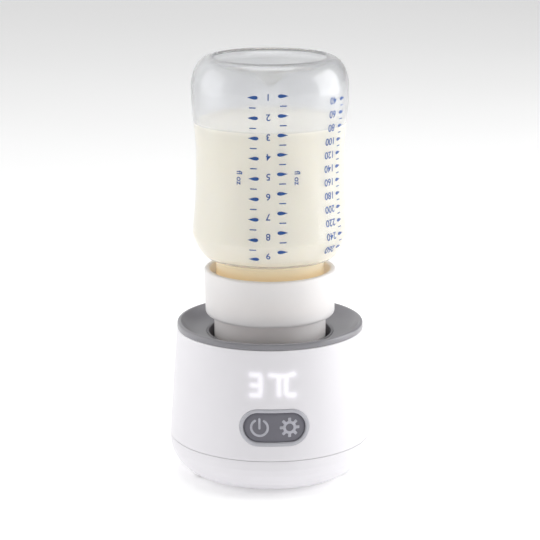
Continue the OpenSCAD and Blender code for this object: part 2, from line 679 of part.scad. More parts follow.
// The waist is a smooth pinch, blunt below its middle and drawn out above it
function pinch(z) = z > waist_level
    ? pow(1 - pow(min(1, (z - waist_level) / (body_top - waist_level)), 2), 2.1)
    : pow(1 - pow(min(1, (waist_level - z) / (waist_level - bulge_level)), 2), 1.1);
function waist_line(depth) = [for (i = [1:14]) let (z = bulge_level + (body_top - bulge_level) * i / 15)
    [side_radius - (side_radius - waist_diameter / 2) * pinch(z) - depth, z]];
function crown_line(depth) = [for (p = rounded(2.1, 10, 0, 90))
    [crown_flat + (bottle_radius - crown_flat - depth) * p[0],
     body_top + (crown_level - body_top - depth) * p[1]]];
// The sunk crown: a shallow cone that ends in a rounded drop on the axis
function recess_line(depth) = [for (p = [[1, 1.4], [0.93, 2.6], [0.7, 3.9], [0.42, 5.8], [0.22, 7.7],
    [0.11, 9.8], [0.045, 11]]) [recess_rim * p[0], crown_level - p[1] - depth]];

module bottle() color("ghostwhite", 0.5) union() {
    turned(concat([[bottle_neck_radius, mouth_level], [bottle_neck_radius, shoulder_level]],
        shoulder_line(0), waist_line(0), crown_line(0), [[recess_rim + 0.5, crown_level - 0.3]],
        recess_line(0), [[0, crown_level - recess_depth], [0, crown_level - recess_depth - bottle_wall]],
        [for (i = [6:-1:0]) recess_line(bottle_wall)[i]],
        [[recess_rim + 0.6, crown_level - 2.2]],
        [for (i = [10:-1:0]) crown_line(bottle_wall)[i]],
        [for (i = [13:-1:0]) waist_line(bottle_wall)[i]],
        [for (i = [8:-1:0]) shoulder_line(bottle_wall)[i]],
        [[bottle_neck_radius - 2, shoulder_level + bottle_wall], [bottle_neck_radius - 2, mouth_level]]));
    thread_ridge(bottle_neck_radius - 0.4, cup_inner - thread_crest_gap, thread_start - thread_pitch / 2,
        thread_turns);
}

module milk() color("ivory") {
    side = [for (p = concat(shoulder_line(bottle_wall + milk_gap), waist_line(bottle_wall + milk_gap)))
        if (p[1] < milk_level - 1) p];
    turned(concat([[0, mouth_level + 0.2], [bottle_neck_radius - 2 - milk_gap, mouth_level + 0.2],
        [bottle_neck_radius - 2 - milk_gap, shoulder_level + bottle_wall + milk_gap]],
        side, [[side[len(side) - 1][0] + 0.1, milk_level], [0, milk_level]]));
}

housing();
base_cover();
foot_ring();
base_screws();
top_collar();
well_sleeve();
collar_screws();
heating_chamber();
chamber_screws();
heating_element();
temperature_sensor();
heat_shield();
chamber_seal();
battery_cells();
battery_holder();
battery_tabs();
power_board();
power_components();
charging_socket();
board_screws();
front_board();
display_module();
tact_switches();
display_diffuser();
keypad_bezel();
buzzer();
battery_leads();
heater_leads();
sensor_leads();
board_ribbon();
flap_pin();
power_key();
settings_key();
port_flap();
adapter_seal();
adapter();
bottle_gasket();
milk();
bottle();
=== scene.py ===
"""Finishes a cordless bottle warmer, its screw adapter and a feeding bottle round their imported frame.

Lengths are metres. The warmer stands on z = 0, Z is its axis and the front faces -Y."""
import json
import math

import bmesh
import bpy
import numpy as np
from bpy.props import FloatProperty, IntProperty, PointerProperty, StringProperty
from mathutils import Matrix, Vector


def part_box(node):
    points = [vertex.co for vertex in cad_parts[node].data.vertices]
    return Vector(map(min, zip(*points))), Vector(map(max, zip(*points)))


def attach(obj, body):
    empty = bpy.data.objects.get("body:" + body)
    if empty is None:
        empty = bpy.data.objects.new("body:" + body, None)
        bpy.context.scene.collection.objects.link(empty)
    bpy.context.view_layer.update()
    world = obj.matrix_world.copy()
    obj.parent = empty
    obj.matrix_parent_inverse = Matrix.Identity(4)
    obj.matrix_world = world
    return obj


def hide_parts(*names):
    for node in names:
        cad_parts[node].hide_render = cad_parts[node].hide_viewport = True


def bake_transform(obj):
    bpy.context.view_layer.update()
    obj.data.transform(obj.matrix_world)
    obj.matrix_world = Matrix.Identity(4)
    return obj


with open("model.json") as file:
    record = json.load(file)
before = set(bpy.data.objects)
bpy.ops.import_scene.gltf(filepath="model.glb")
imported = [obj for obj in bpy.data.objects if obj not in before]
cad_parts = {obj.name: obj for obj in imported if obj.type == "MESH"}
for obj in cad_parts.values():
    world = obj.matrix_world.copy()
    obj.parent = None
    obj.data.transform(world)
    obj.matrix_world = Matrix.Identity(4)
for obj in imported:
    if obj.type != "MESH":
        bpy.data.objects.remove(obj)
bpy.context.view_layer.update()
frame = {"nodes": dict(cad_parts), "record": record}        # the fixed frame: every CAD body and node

bl_info = {
    "name": "Bottle Warmer",
    "version": (1, 0, 0),
    "blender": (4, 5, 0),
    "location": "View3D > Sidebar > Warmer",
    "description": "Builds the shells, keys, adapter, bottle and finishes of a bottle warmer",
    "category": "Add Mesh",
}

MM = 0.001
FRONT, BACK = -1, 1


def middle_and_length(node, axis):
    """The middle and the length of a node's box along x, y or z, which are axes 0, 1 and 2."""
    low, high = (corner[axis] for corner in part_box(node))
    return (low + high) / 2, high - low


# Levels and radii that the frame gives
HOUSING_LOW, HOUSING_HIGH = (corner.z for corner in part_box("housing"))
TOP_RADIUS, RIM_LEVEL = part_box("top_collar")[1].x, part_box("top_collar")[1].z
MAX_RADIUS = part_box("base_cover")[1].x
CUP_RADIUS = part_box("adapter")[1].x
NECK_LOW, CUP_RIM = (corner.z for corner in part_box("adapter"))
CUP_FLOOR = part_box("bottle_gasket")[0].z
BOTTLE_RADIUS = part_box("bottle")[1].x
MOUTH, CROWN = (corner.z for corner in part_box("bottle"))
MILK_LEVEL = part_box("milk")[1].z
KEYPAD_WIDTH = 2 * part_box("keypad_bezel")[1].x
KEYPAD_LEVEL, KEYPAD_HEIGHT = middle_and_length("keypad_bezel", 2)
SOCKET_WIDTH = 2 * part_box("charging_socket")[1].x
SOCKET_LEVEL, SOCKET_HEIGHT = middle_and_length("charging_socket", 2)
FLAP_WIDTH = 2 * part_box("port_flap")[1].x
FLAP_LOW, FLAP_HIGH = (corner.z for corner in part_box("port_flap"))
PIN_DEPTH, PIN_LEVEL = (middle_and_length("flap_pin", axis)[0] for axis in (1, 2))

# Half sizes of the straight middles of the two pill shapes: the keys' opening and the charging socket
KEYPAD_CORE = ((KEYPAD_WIDTH - KEYPAD_HEIGHT) / 2, 0)
SOCKET_CORE = ((SOCKET_WIDTH - SOCKET_HEIGHT) / 2, 0)
# Play round the key surround, and the share of the housing's edge radius that its openings' edges have
KEYPAD_PLAY = 0.03 * MM
OPENING_EDGE = 0.7
# The screw thread: the level where it starts, its play, and how deep its root is sunk in the wall
THREAD_LEVEL = MOUTH + 9.3 * MM
THREAD_PLAY = 0.6 * MM
THREAD_SINK = 0.2 * MM
# Lights: the setting of the power, the turn to the right of the front in degrees, and the distance from
# the axis, the level, the width and the height in metres
LIGHTS = {
    "key_light": ("key_power", 94, 1.1, 0.38, 0.9, 1.0),
    "fill_light": ("fill_power", -98, 1.1, 0.38, 0.9, 1.0),
    "top_light": ("top_power", 180, 0.15, 1.3, 0.8, 0.8),
    "front_light": ("front_power", -3, 1.6, 0.3, 1.4, 0.5),
}


# ---------- settings ----------

def length(name, description, millimetres, low=0.0, high=100.0):
    """A length setting, given in millimetres and kept in metres."""
    return FloatProperty(name=name, description=description, default=millimetres * MM, min=low * MM,
                         max=high * MM, precision=5, unit="LENGTH", subtype="DISTANCE")


def number(name, description, value, low=0.0, high=5.0, **settings):
    """A setting that isn't a length: a plain number, or an angle where the settings say so."""
    return FloatProperty(name=name, description=description, default=value, min=low, max=high, **settings)


def colour(name, description, value):
    """A colour setting, an sRGB hex value such as #ffffff."""
    return StringProperty(name=name, description=description, default=value, maxlen=7)


class ShellSettings(bpy.types.PropertyGroup):
    """Sizes and colours of the warmer's shells."""
    wall: length("Wall", "Thickness of the housing's wall", 2.2)
    bulge: length("Bulge", "How far the wall swells between its two ends", 0.17)
    corner_top: length("Corner top", "Level where the rounded base corner ends", 16.4)
    edge: length("Edge radius", "Rounding of the housing's edges", 0.3)
    seam: length("Seam radius", "Rounding of the housing's lower edge, at the seam", 0.1)
    seam_cover: length("Seam cover", "How far the housing reaches down over the seam's gap", 0.2)
    dish_inner: length("Dish inside", "Radius of the collar's inner edge", 28.75)
    dish_outer: length("Dish outside", "Radius where the dish meets the rim", 40.05)
    dish_depth: length("Dish depth", "Depth of the dish below the rim", 5.0)
    dish_power: number("Dish power", "How late the dish climbs to its rim", 3.0, 1.0, 4.0)
    collar_wall: length("Collar wall", "Thickness of the collar", 2.0)
    housing_colour: colour("Housing colour", "Colour of the housing and the base", "#ebe9ed")
    collar_colour: colour("Collar colour", "Colour of the collar", "#858489")
    rim_colour: colour("Sleeve colour", "Colour of the well's sleeve", "#7b7a7e")


class KeypadSettings(bpy.types.PropertyGroup):
    """Sizes and colours of the key plate, its surround and the lit digits."""
    ring: length("Ring width", "Width of the surround's ring", 1.65)
    proud: length("Ring height", "How far the ring stands proud of the wall", 0.3)
    recess: length("Key recess", "Depth of the key plate below the wall", 0.4)
    gap: length("Key gap", "Gap between the key plate and the ring", 0.14)
    key_middle: length("Key middle", "Distance of each symbol from the middle", 6.6)
    line_height: length("Symbol height", "How far a symbol stands proud of its key", 0.14)
    digit_blur: length("Digit blur", "Softness of the lit digits' edges", 0.42)
    digit_half_width: length("Digit stroke", "Half the width of a lit stroke", 0.85)
    glow: number("Glow", "Brightness of the lit digits", 0.4, high=10.0)
    key_colour: colour("Key colour", "Colour of the key plate", "#6f6e77")
    symbol_colour: colour("Symbol colour", "Colour of the symbols", "#b4b4bd")
    ring_colour: colour("Ring colour", "Colour of the surround", "#b9b9c0")


class BottleSettings(bpy.types.PropertyGroup):
    """Sizes and colours of the adapter, the bottle and the milk."""
    cup_wall: length("Cup wall", "Thickness of the cup's wall", 2.6)
    cup_bottom: length("Cup bottom", "Level of the cup's underside", 73.3)
    cup_taper: length("Cup taper", "How much smaller the cup's radius is at its underside", 0.5)
    adapter_neck: length("Adapter neck", "Outside radius of the adapter's neck", 25.2)
    adapter_bore: length("Adapter bore", "Inside radius of the adapter's neck", 22.7)
    wall: length("Bottle wall", "Thickness of the bottle's wall", 1.6)
    neck: length("Bottle neck", "Outside radius of the bottle's neck", 24.4)
    waist: length("Waist", "Radius at the bottle's waist", 32.85)
    thread_pitch: length("Thread pitch", "Rise of the screw thread in one turn", 4.5)
    columns: IntProperty(name="Columns", description="Points round the bottle", default=192, min=48,
                         max=512)
    adapter_colour: colour("Adapter colour", "Colour of the adapter", "#efecec")
    bottle_colour: colour("Bottle tint", "Tint of the bottle's wall", "#fafbfd")
    milk_colour: colour("Milk colour", "Colour of the milk", "#faf5e6")
    ink_colour: colour("Ink colour", "Colour of the printed scale", "#0b4a94")


class StageSettings(bpy.types.PropertyGroup):
    """Camera, lights and floor."""
    camera_azimuth: number("Azimuth", "Camera's turn to the left of the front", math.radians(2.6), -math.pi,
                           math.pi, subtype="ANGLE")
    camera_reach: length("Reach", "Camera's level distance from the axis", 887.3, 100, 5000)
    camera_level: length("Level", "Camera's height above the ground", 315.8, 0, 5000)
    camera_pitch: number("Pitch", "How far the camera looks down", math.radians(14.1), -math.pi / 2,
                         math.pi / 2, subtype="ANGLE")
    camera_lens: number("Lens", "Focal length in millimetres", 135.3, 20.0, 300.0)
    key_power: number("Key light", "Power of the right-hand light in watts", 11.0, high=500.0)
    fill_power: number("Fill light", "Power of the left-hand light in watts", 3.4, high=500.0)
    top_power: number("Top light", "Power of the light overhead in watts", 5.5, high=500.0)
    front_power: number("Front light", "Power of the low light in front in watts", 2.2, high=500.0)
    sky: number("Sky", "Brightness of the surroundings in front", 0.3)
    back_sky: number("Back sky", "Brightness of the surroundings behind the object, to its left", 1.0)
    floor_colour: colour("Floor colour", "Colour of the floor", "#fbfbfb")


# ---------- outlines ----------

def rounded(corners, steps=6):
    """A closed outline through corners (x, y, radius): each corner is replaced by the arc of its radius
    that touches both of its sides, found as the turn of one touching point into the other."""
    corners = np.array(corners, float)
    before, after = np.roll(corners, 1, 0), np.roll(corners, -1, 0)
    outline = []
    for corner, back, ahead in zip(corners, before, after):
        point, radius = corner[:2], corner[2]
        u, v = back[:2] - point, ahead[:2] - point
        u, v = u / np.linalg.norm(u), v / np.linalg.norm(v)
        half = math.acos(np.clip(u @ v, -1, 1)) / 2
        if radius == 0 or half > math.radians(89.5):
            outline.append(point[None])
            continue
        centre = point + (u + v) / np.linalg.norm(u + v) * radius / math.sin(half)
        start, end = (point + side * radius / math.tan(half) - centre for side in (u, v))
        turn = math.pi - 2 * half
        t = np.linspace(0, 1, steps + 1)[:, None]
        outline.append(centre + (np.sin((1 - t) * turn) * start + np.sin(t * turn) * end) / math.sin(turn))
    return np.concatenate(outline)


def edge_steps(radius, degrees=(30, 60, 90)):
    """Places round a rounded edge of that radius, at those angles from its face, each as its distance in
    from the side and its distance down from the face."""
    return [(radius * (1 - math.sin(a)), radius * (1 - math.cos(a))) for a in np.radians(degrees)]


def spaced(points, spacing, closed=True):
    """The same outline with extra points, so that no two neighbours are further apart than spacing."""
    ends = np.roll(points, -1, 0) if closed else points[1:]
    starts = points if closed else points[:-1]
    pieces = []
    for start, end in zip(starts, ends):
        count = max(1, math.ceil(np.linalg.norm(end - start) / spacing))
        pieces.append(start + (end - start) * (np.arange(count) / count)[:, None])
    return np.concatenate(pieces if closed else pieces + [points[-1:]])


def cut_corners(points, rounds=3):
    """A smooth open curve: each round replaces every corner by points a quarter of the way along its
    two sides, and the two ends stay."""
    for _ in range(rounds):
        cut = np.stack([0.75 * points[:-1] + 0.25 * points[1:], 0.25 * points[:-1] + 0.75 * points[1:]], 1)
        points = np.concatenate([points[:1], cut.reshape(-1, 2)[1:-1], points[-1:]])
    return points


def inset(points, distance):
    """An open outline moved to its left by distance, along the normal of the curve through its points."""
    along = np.gradient(points, axis=0)
    along /= np.linalg.norm(along, axis=1, keepdims=True)
    return points + distance * np.stack([-along[:, 1], along[:, 0]], 1)


def around(points, core, radius):
    """For each point, the place at radius from a core box of those half sizes, on the straight line from
    the box's nearest point: a pill or a rounded rectangle."""
    nearest = np.clip(points, -np.array(core), np.array(core))
    away = points - nearest
    return nearest + radius * away / np.linalg.norm(away, axis=1, keepdims=True)


def half_frame(width, height, count):
    """Points along the right half of a rectangle of those half sizes, from below its middle to above it."""
    corners = np.array([[0, -height], [width, -height], [width, height], [0, height]], float)
    return spaced(corners, (2 * width + 2 * height) / count, closed=False)


def whole_frame(width, height, count):
    """Points along a rectangle of those half sizes: the right half and the same turned by half a turn."""
    half = half_frame(width, height, count // 2)
    return np.concatenate([half[:-1], -half[:-1]])


# ---------- meshes ----------

def grid_faces(rows, columns, closed_rows=False, closed_columns=True):
    """The four-sided faces between neighbours on a grid of points numbered row by row."""
    row = np.arange(rows if closed_rows else rows - 1)[:, None]
    column = np.arange(columns if closed_columns else columns - 1)[None]
    next_row, next_column = (row + 1) % rows, (column + 1) % columns
    corners = np.broadcast_arrays(row * columns + column, row * columns + next_column,
                                  next_row * columns + next_column, next_row * columns + column)
    return np.stack(corners, -1).reshape(-1, 4)


def grid(points, closed_rows=False, closed_columns=True):
    """A grid of points as a part: its points in one list, and its faces."""
    rows, columns = points.shape[:2]
    return points.reshape(-1, 3), grid_faces(rows, columns, closed_rows, closed_columns)


def turned(outline, columns=256, closed=True):
    """An outline of (radius, level) points carried round the Z axis in equal turns."""
    turn = np.linspace(0, 2 * math.pi, columns, endpoint=False)[None]
    radius, level = outline[:, :1], outline[:, 1:2]
    points = np.stack([radius * np.cos(turn), radius * np.sin(turn), level + 0 * turn], -1)
    return grid(points, closed_rows=closed)


def make_piece(name, parts, body, look, replaces=(), crease=35.0, solid=True):
    """Joins parts (points and faces) into one object, closes their seams and poles by merging points
    that coincide, turns the faces outwards, gives it the finish of that name and rides it on its body.
    A piece that replaces CAD nodes takes their slot, which has the finish's name."""
    points, faces, count = [], [], 0
    for part_points, part_faces in parts:
        points.append(part_points)
        faces += [[int(corner) + count for corner in face] for face in part_faces]
        count += len(part_points)
    mesh = bpy.data.meshes.new(name)
    mesh.from_pydata(np.concatenate(points), [], faces)
    work = bmesh.new()
    work.from_mesh(mesh)
    bmesh.ops.remove_doubles(work, verts=work.verts, dist=0.002 * MM)
    if solid:
        bmesh.ops.recalc_face_normals(work, faces=work.faces)
    work.to_mesh(mesh)
    work.free()
    mesh.polygons.foreach_set("use_smooth", np.ones(len(mesh.polygons), bool))
    mesh.set_sharp_from_angle(angle=math.radians(crease))
    mesh.materials.append(finish(look))
    piece = bpy.data.objects.new(name, mesh)
    bpy.context.scene.collection.objects.link(piece)
    if replaces:
        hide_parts(*replaces)
    if body:
        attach(piece, body)
    return piece


def vertices(mesh):
    """A mesh's points as an array."""
    places = np.empty(len(mesh.vertices) * 3, np.float32)
    mesh.vertices.foreach_get("co", places)
    return places.reshape(-1, 3).astype(float)


# ---------- the wall of the housing ----------

def wall_radius(level):
    """Outside radius of the housing: a cone from the base corner up to the collar, which swells by the
    bulge half way up."""
    shell = bpy.context.scene.warmer_shell
    t = (HOUSING_HIGH - level) / (HOUSING_HIGH - shell.corner_top)
    return TOP_RADIUS + (MAX_RADIUS - TOP_RADIUS) * t + 4 * shell.bulge * t * (1 - t)


def on_wall(across, level, depth, side=FRONT):
    """Places at (x, z) on the wall, at a depth below its outside: y is the side of a right-angled triangle
    whose long side is the radius."""
    radius = wall_radius(level) - depth
    return np.stack(np.broadcast_arrays(across, side * np.sqrt(radius**2 - across**2), level), -1)


def flat(across, level, depth):
    """Places at (x, z) on a flat upright plane at y = depth."""
    return np.stack(np.broadcast_arrays(across, depth, level), -1)


def mixed(start, end, shares):
    """Outlines part of the way from one outline to another, one for each share."""
    return [start + (end - start) * share for share in shares]


def rim_of(points, rows, columns):
    """The loop of grid points round a rectangle of rows and columns, counted once each."""
    (low, high), (left, right) = rows, columns
    loop = [(low, column) for column in range(left, right)] + [(row, right) for row in range(low, high)]
    loop += [(high, column) for column in range(right, left, -1)]
    loop += [(row, left) for row in range(high, low, -1)]
    row, column = np.array(loop).T
    return points[row, column]


def keypad_opening(outer, inner):
    """Rows of points from the outer rim of a gap in the wall to its inner rim, past the pill-shaped edge
    of the key opening: the outline is a pill, carried inwards through the wall."""
    shell = bpy.context.scene.warmer_shell
    radius, edge = KEYPAD_HEIGHT / 2 + KEYPAD_PLAY, shell.edge * OPENING_EDGE
    centre = np.array([0, KEYPAD_LEVEL])
    start, end = outer[:, [0, 2]] - centre, inner[:, [0, 2]] - centre
    lip, hole = (around(start, KEYPAD_CORE, reach) for reach in (radius + edge, radius))
    rows = [(place, 0) for place in mixed(start, lip, (0.35, 0.65, 0.86, 0.96, 1))]
    rows += [(around(start, KEYPAD_CORE, radius + out), down) for out, down in edge_steps(edge)]
    rows += [(hole, share * shell.wall) for share in (0.3, 0.6, 1)]
    rows += [(place, shell.wall) for place in mixed(hole, end, (0.3, 0.7))]
    rows = [on_wall(place[:, 0], place[:, 1] + KEYPAD_LEVEL, depth) for place, depth in rows]
    return np.stack([outer, *rows, inner])


def port_opening(outer, inner):
    """Rows of points from the outer rim of a gap in the back to its inner rim: down the sides of the flap's
    recess, over its flat floor, through the socket's pill-shaped hole and back over the boss behind it."""
    shell = bpy.context.scene.warmer_shell
    clear, corner, floor_wall, knuckle_room = 0.4 * MM, 1.2 * MM, 1.4 * MM, 1.6 * MM
    low, high = PIN_LEVEL - knuckle_room, FLAP_HIGH + clear
    middle, edge = (low + high) / 2, shell.edge * OPENING_EDGE
    core = (FLAP_WIDTH / 2 + clear - corner, (high - low) / 2 - corner)
    floor, back = PIN_DEPTH - floor_wall, PIN_DEPTH - 2 * floor_wall
    start, end = (rim[:, [0, 2]] - [0, middle] for rim in (outer, inner))
    lip, recess, outside = (around(start, core, corner + extra) for extra in (edge, 0, floor_wall))
    to_socket = np.array([0, SOCKET_LEVEL - middle])
    hole = around(recess - to_socket, SOCKET_CORE, SOCKET_HEIGHT / 2 + clear) + to_socket

    def wall_row(place, depth):
        return on_wall(place[:, 0], place[:, 1] + middle, depth, BACK)

    def flat_row(place, depth):
        return flat(place[:, 0], place[:, 1] + middle, depth)

    rows = [wall_row(place, 0) for place in mixed(start, lip, (0.4, 0.75, 0.93, 1))]
    rows += [wall_row(around(start, core, corner + out), down) for out, down in edge_steps(edge)]
    rows += [flat_row(place, floor) for place in mixed(recess, hole, (0, 0.08, 0.5, 0.94, 1))]
    rows += [flat_row(place, back) for place in mixed(hole, outside, (0, 0.1, 0.9, 1))]
    rows += [wall_row(place, shell.wall) for place in mixed(outside, end, (0, 0.3, 0.7))]
    return np.stack([outer, *rows, inner])


def housing_parts():
    """The wall as one closed shell: (level, depth) rows up the outside and down the inside, each carried
    round the axis, with a rectangle of faces left out where the keys and the port are, and each gap
    closed by the rows of its opening."""
    shell = bpy.context.scene.warmer_shell
    low_edge = HOUSING_LOW - shell.seam_cover
    # Points lie closer together across the front and at the levels of the lit digits
    half = math.asin(18 * MM / TOP_RADIUS)
    turn = np.concatenate([np.linspace(-half, half, 90, endpoint=False),
                           np.linspace(half, 2 * math.pi - half, 190, endpoint=False)])
    fine_low, fine_high = 44.5 * MM, 60 * MM
    levels = np.concatenate([
        np.linspace(low_edge + shell.seam, fine_low, 28, endpoint=False),
        np.linspace(fine_low, fine_high, 40, endpoint=False),
        np.linspace(fine_high, HOUSING_HIGH - shell.edge, 8)])
    count = len(levels)
    arc = (22, 45, 68, 90)
    top = [(HOUSING_HIGH - out, down) for out, down in edge_steps(shell.edge, arc)]
    bottom = [(low_edge + out, down) for out, down in edge_steps(shell.seam, arc)[::-1]]
    rows = [(level, 0) for level in levels] + top + [(HOUSING_HIGH, shell.wall)]
    inner_start = len(rows)
    rows += [(level, shell.wall) for level in levels[::-1]] + [(low_edge, shell.wall)] + bottom
    level, depth = np.array(rows).T
    radius = wall_radius(level) - depth
    points = np.stack([radius[:, None] * np.sin(turn), -radius[:, None] * np.cos(turn),
                       np.broadcast_to(level[:, None], (len(level), len(turn)))], -1)
    faces = grid_faces(len(rows), len(turn), closed_rows=True).reshape(len(rows), len(turn), 4)
    keep = np.ones(faces.shape[:2], bool)
    parts = []
    key_reach, key_room, port_reach, port_room = 17.3 * MM, 10.2 * MM, 11 * MM, 4 * MM
    for opening, middle_turn, reach, low, high in (
            (keypad_opening, 0.0, key_reach, KEYPAD_LEVEL - key_room, KEYPAD_LEVEL + key_room),
            (port_opening, math.pi, port_reach, FLAP_LOW - port_room, FLAP_HIGH + port_room)):
        span = reach / wall_radius((low + high) / 2)
        left, right = (int(np.argmin(abs(turn - middle_turn - side * span))) for side in (-1, 1))
        first, last = (int(np.argmin(abs(levels - level))) for level in (low, high))
        inner_rows = inner_start + count - 1 - first, inner_start + count - 1 - last
        keep[first:last, left:right] = False
        keep[inner_rows[1]:inner_rows[0], left:right] = False
        outer_rim = rim_of(points, (first, last), (left, right))
        mirrored = points[::-1]
        flip = len(rows) - 1
        inner_rim = rim_of(mirrored, (flip - inner_rows[0], flip - inner_rows[1]), (left, right))
        parts.append(grid(opening(outer_rim, inner_rim)))
    return [(points.reshape(-1, 3), faces[keep])] + parts


def digit_glow(across, level):
    """Brightness of the lit digits at (x, z): one inside each stroke, falling off smoothly with the
    distance from the nearest stroke, and a faint wide halo."""
    keypad = bpy.context.scene.warmer_keypad
    # The ends of each stroke of the 3, the 7 and the C, in millimetres
    strokes = np.array([
        ((-9.9, 56.5), (-6.5, 56.4)), ((-6.5, 56.4), (-6.1, 54.5)), ((-6.1, 54.5), (-6.1, 49.5)),
        ((-6.1, 49.5), (-6.6, 47.6)), ((-6.6, 47.6), (-9.9, 47.5)), ((-9.5, 51.9), (-6.1, 51.9)),
        ((-1.7, 56.5), (1.9, 56.1)), ((1.9, 56.1), (2.0, 48.0)),
        ((8.3, 56.7), (5.1, 55.9)), ((5.1, 55.9), (5.0, 48.6)), ((5.0, 48.6), (6.3, 47.5)),
        ((6.3, 47.5), (8.5, 47.4)), ((2.0, 56.1), (5.0, 55.9))]) * MM
    place = np.stack([across, level], -1)[:, None]
    start, along = strokes[:, 0], strokes[:, 1] - strokes[:, 0]
    share = np.clip(((place - start) * along).sum(-1) / (along**2).sum(-1), 0, 1)
    distance = np.linalg.norm(place - start - share[..., None] * along, axis=-1).min(1)
    stroke = 1 / (1 + np.exp((distance - keypad.digit_half_width) / keypad.digit_blur))
    return stroke + 0.14 * np.exp(-(distance / (2.6 * MM))**2)


# ---------- the collar, the adapter and the bottle ----------

def dish_level(radius):
    """Level of the collar's dish: a power of the share of the way from its inner to its outer edge, where
    it ends a little below the rim."""
    shell = bpy.context.scene.warmer_shell
    share = (radius - shell.dish_inner) / (shell.dish_outer - shell.dish_inner)
    climb = shell.dish_depth - 0.35 * MM
    return RIM_LEVEL - shell.dish_depth + climb * np.clip(share, 0, None)**shell.dish_power


def collar_outline():
    """The collar's section: outer band, rounded rim, dish, and back under the dish to the skirt."""
    shell = bpy.context.scene.warmer_shell
    foot, skirt_low = HOUSING_HIGH + 0.15 * MM, HOUSING_HIGH - 5.6 * MM
    dish_end = shell.dish_outer - 1.5 * MM
    band = rounded([(TOP_RADIUS, foot, 0.12 * MM), (TOP_RADIUS - 0.1 * MM, RIM_LEVEL, 0.95 * MM),
                    (shell.dish_outer + 0.39 * MM, RIM_LEVEL, 0.5 * MM),
                    (dish_end, dish_level(dish_end), 0)], 7)
    across = np.linspace(shell.dish_outer - 0.5 * MM, shell.dish_inner + 0.2 * MM, 26)
    dish = np.stack([across, dish_level(across)], 1)
    low = RIM_LEVEL - shell.dish_depth
    lip = np.array([(shell.dish_inner + 0.06 * MM, low - 0.06 * MM), (shell.dish_inner, low - 0.2 * MM)])
    skirt, skirt_wall = TOP_RADIUS - shell.wall - 0.2 * MM, 1.5 * MM
    across = np.linspace(shell.dish_inner, skirt - skirt_wall, 12)
    under = np.stack([across, dish_level(across) - shell.collar_wall], 1)
    on_housing = TOP_RADIUS - shell.wall / 2
    fit = np.array([(skirt - skirt_wall, skirt_low), (skirt, skirt_low), (skirt, HOUSING_HIGH),
                    (on_housing, HOUSING_HIGH), (on_housing, foot)])
    return np.concatenate([band[:-1], dish, lip, under, fit])


def ridge(root, crest, start, pitch, taper=0.6, steps=144):
    """One turn of a screw ridge: a trapezium from its root to its crest carried along a right-hand helix,
    which shrinks to its root over the taper at both ends."""
    turn = np.linspace(0, 2 * math.pi, steps)[:, None]
    height = np.sqrt(np.clip(np.minimum(turn, 2 * math.pi - turn) / taper, 0, 1))
    section = np.array([(0, -1), (0.7, -0.75), (1, -0.35), (1, 0.35), (0.7, 0.75), (0, 1)])
    radius = root + (crest - root) * section[:, 0] * height
    level = start + pitch * turn / (2 * math.pi) + MM * section[:, 1] * height
    return grid(np.stack([radius * np.cos(turn), radius * np.sin(turn), level], -1))


def sector(inner, outer, low, high, middle, half_turn, edge=0.25 * MM, steps=14):
    """A block between two radii and two levels, carried through a part of a turn, with rounded edges; its
    two ends close to a line."""
    outline = rounded([(inner, low, 0), (outer, low, edge), (outer, high, edge), (inner, high, 0)], 4)
    centre = outline.mean(0)
    turn = middle + np.linspace(-half_turn, half_turn, steps)[:, None]
    turn = np.concatenate([turn[:1], turn, turn[-1:]])
    shrink = np.ones(turn.shape)
    shrink[[0, -1]] = 0
    radius = centre[0] + (outline[:, 0] - centre[0]) * shrink
    level = centre[1] + (outline[:, 1] - centre[1]) * shrink
    return grid(np.stack([radius * np.cos(turn), radius * np.sin(turn), level], -1))


def adapter_parts():
    """The adapter: a neck that widens to a cup, three lugs near its foot and one turn of inside thread."""
    sizes = bpy.context.scene.warmer_bottle
    inner = CUP_RADIUS - sizes.cup_wall
    outline = rounded([
        (sizes.adapter_bore, NECK_LOW, 0.4 * MM), (sizes.adapter_neck, NECK_LOW, 0.5 * MM),
        (sizes.adapter_neck, sizes.cup_bottom, 0.25 * MM),
        (CUP_RADIUS - sizes.cup_taper, sizes.cup_bottom, 1.9 * MM),
        (CUP_RADIUS, CUP_RIM, 1.0 * MM), (inner, CUP_RIM, 0.9 * MM), (inner, CUP_FLOOR, 0.4 * MM),
        (sizes.adapter_bore, CUP_FLOOR, 0.3 * MM)], 8)
    parts = [turned(spaced(outline, 1.5 * MM))]
    lugs, lug_low, lug_height, lug_half_turn = 3, NECK_LOW + 2 * MM, 2.4 * MM, math.radians(15)
    for lug in range(lugs):
        parts.append(sector(sizes.adapter_neck - 0.4 * MM, sizes.adapter_neck + 2.0 * MM, lug_low,
                            lug_low + lug_height, lug * math.tau / lugs, lug_half_turn))
    parts.append(ridge(inner + THREAD_SINK, sizes.neck + THREAD_PLAY, THREAD_LEVEL, sizes.thread_pitch))
    return parts


def superellipse(inner, outer, near, far, power, turn):
    """A quarter of a superellipse as (radius, level), from the outer radius at the near level to the inner
    radius at the far one: the cosine and the sine of a turn, each to the power of two over its power."""
    return np.hstack([inner + (outer - inner) * np.clip(np.cos(turn), 0, 1)**(2 / power),
                      near + (far - near) * np.sin(turn)**(2 / power)])


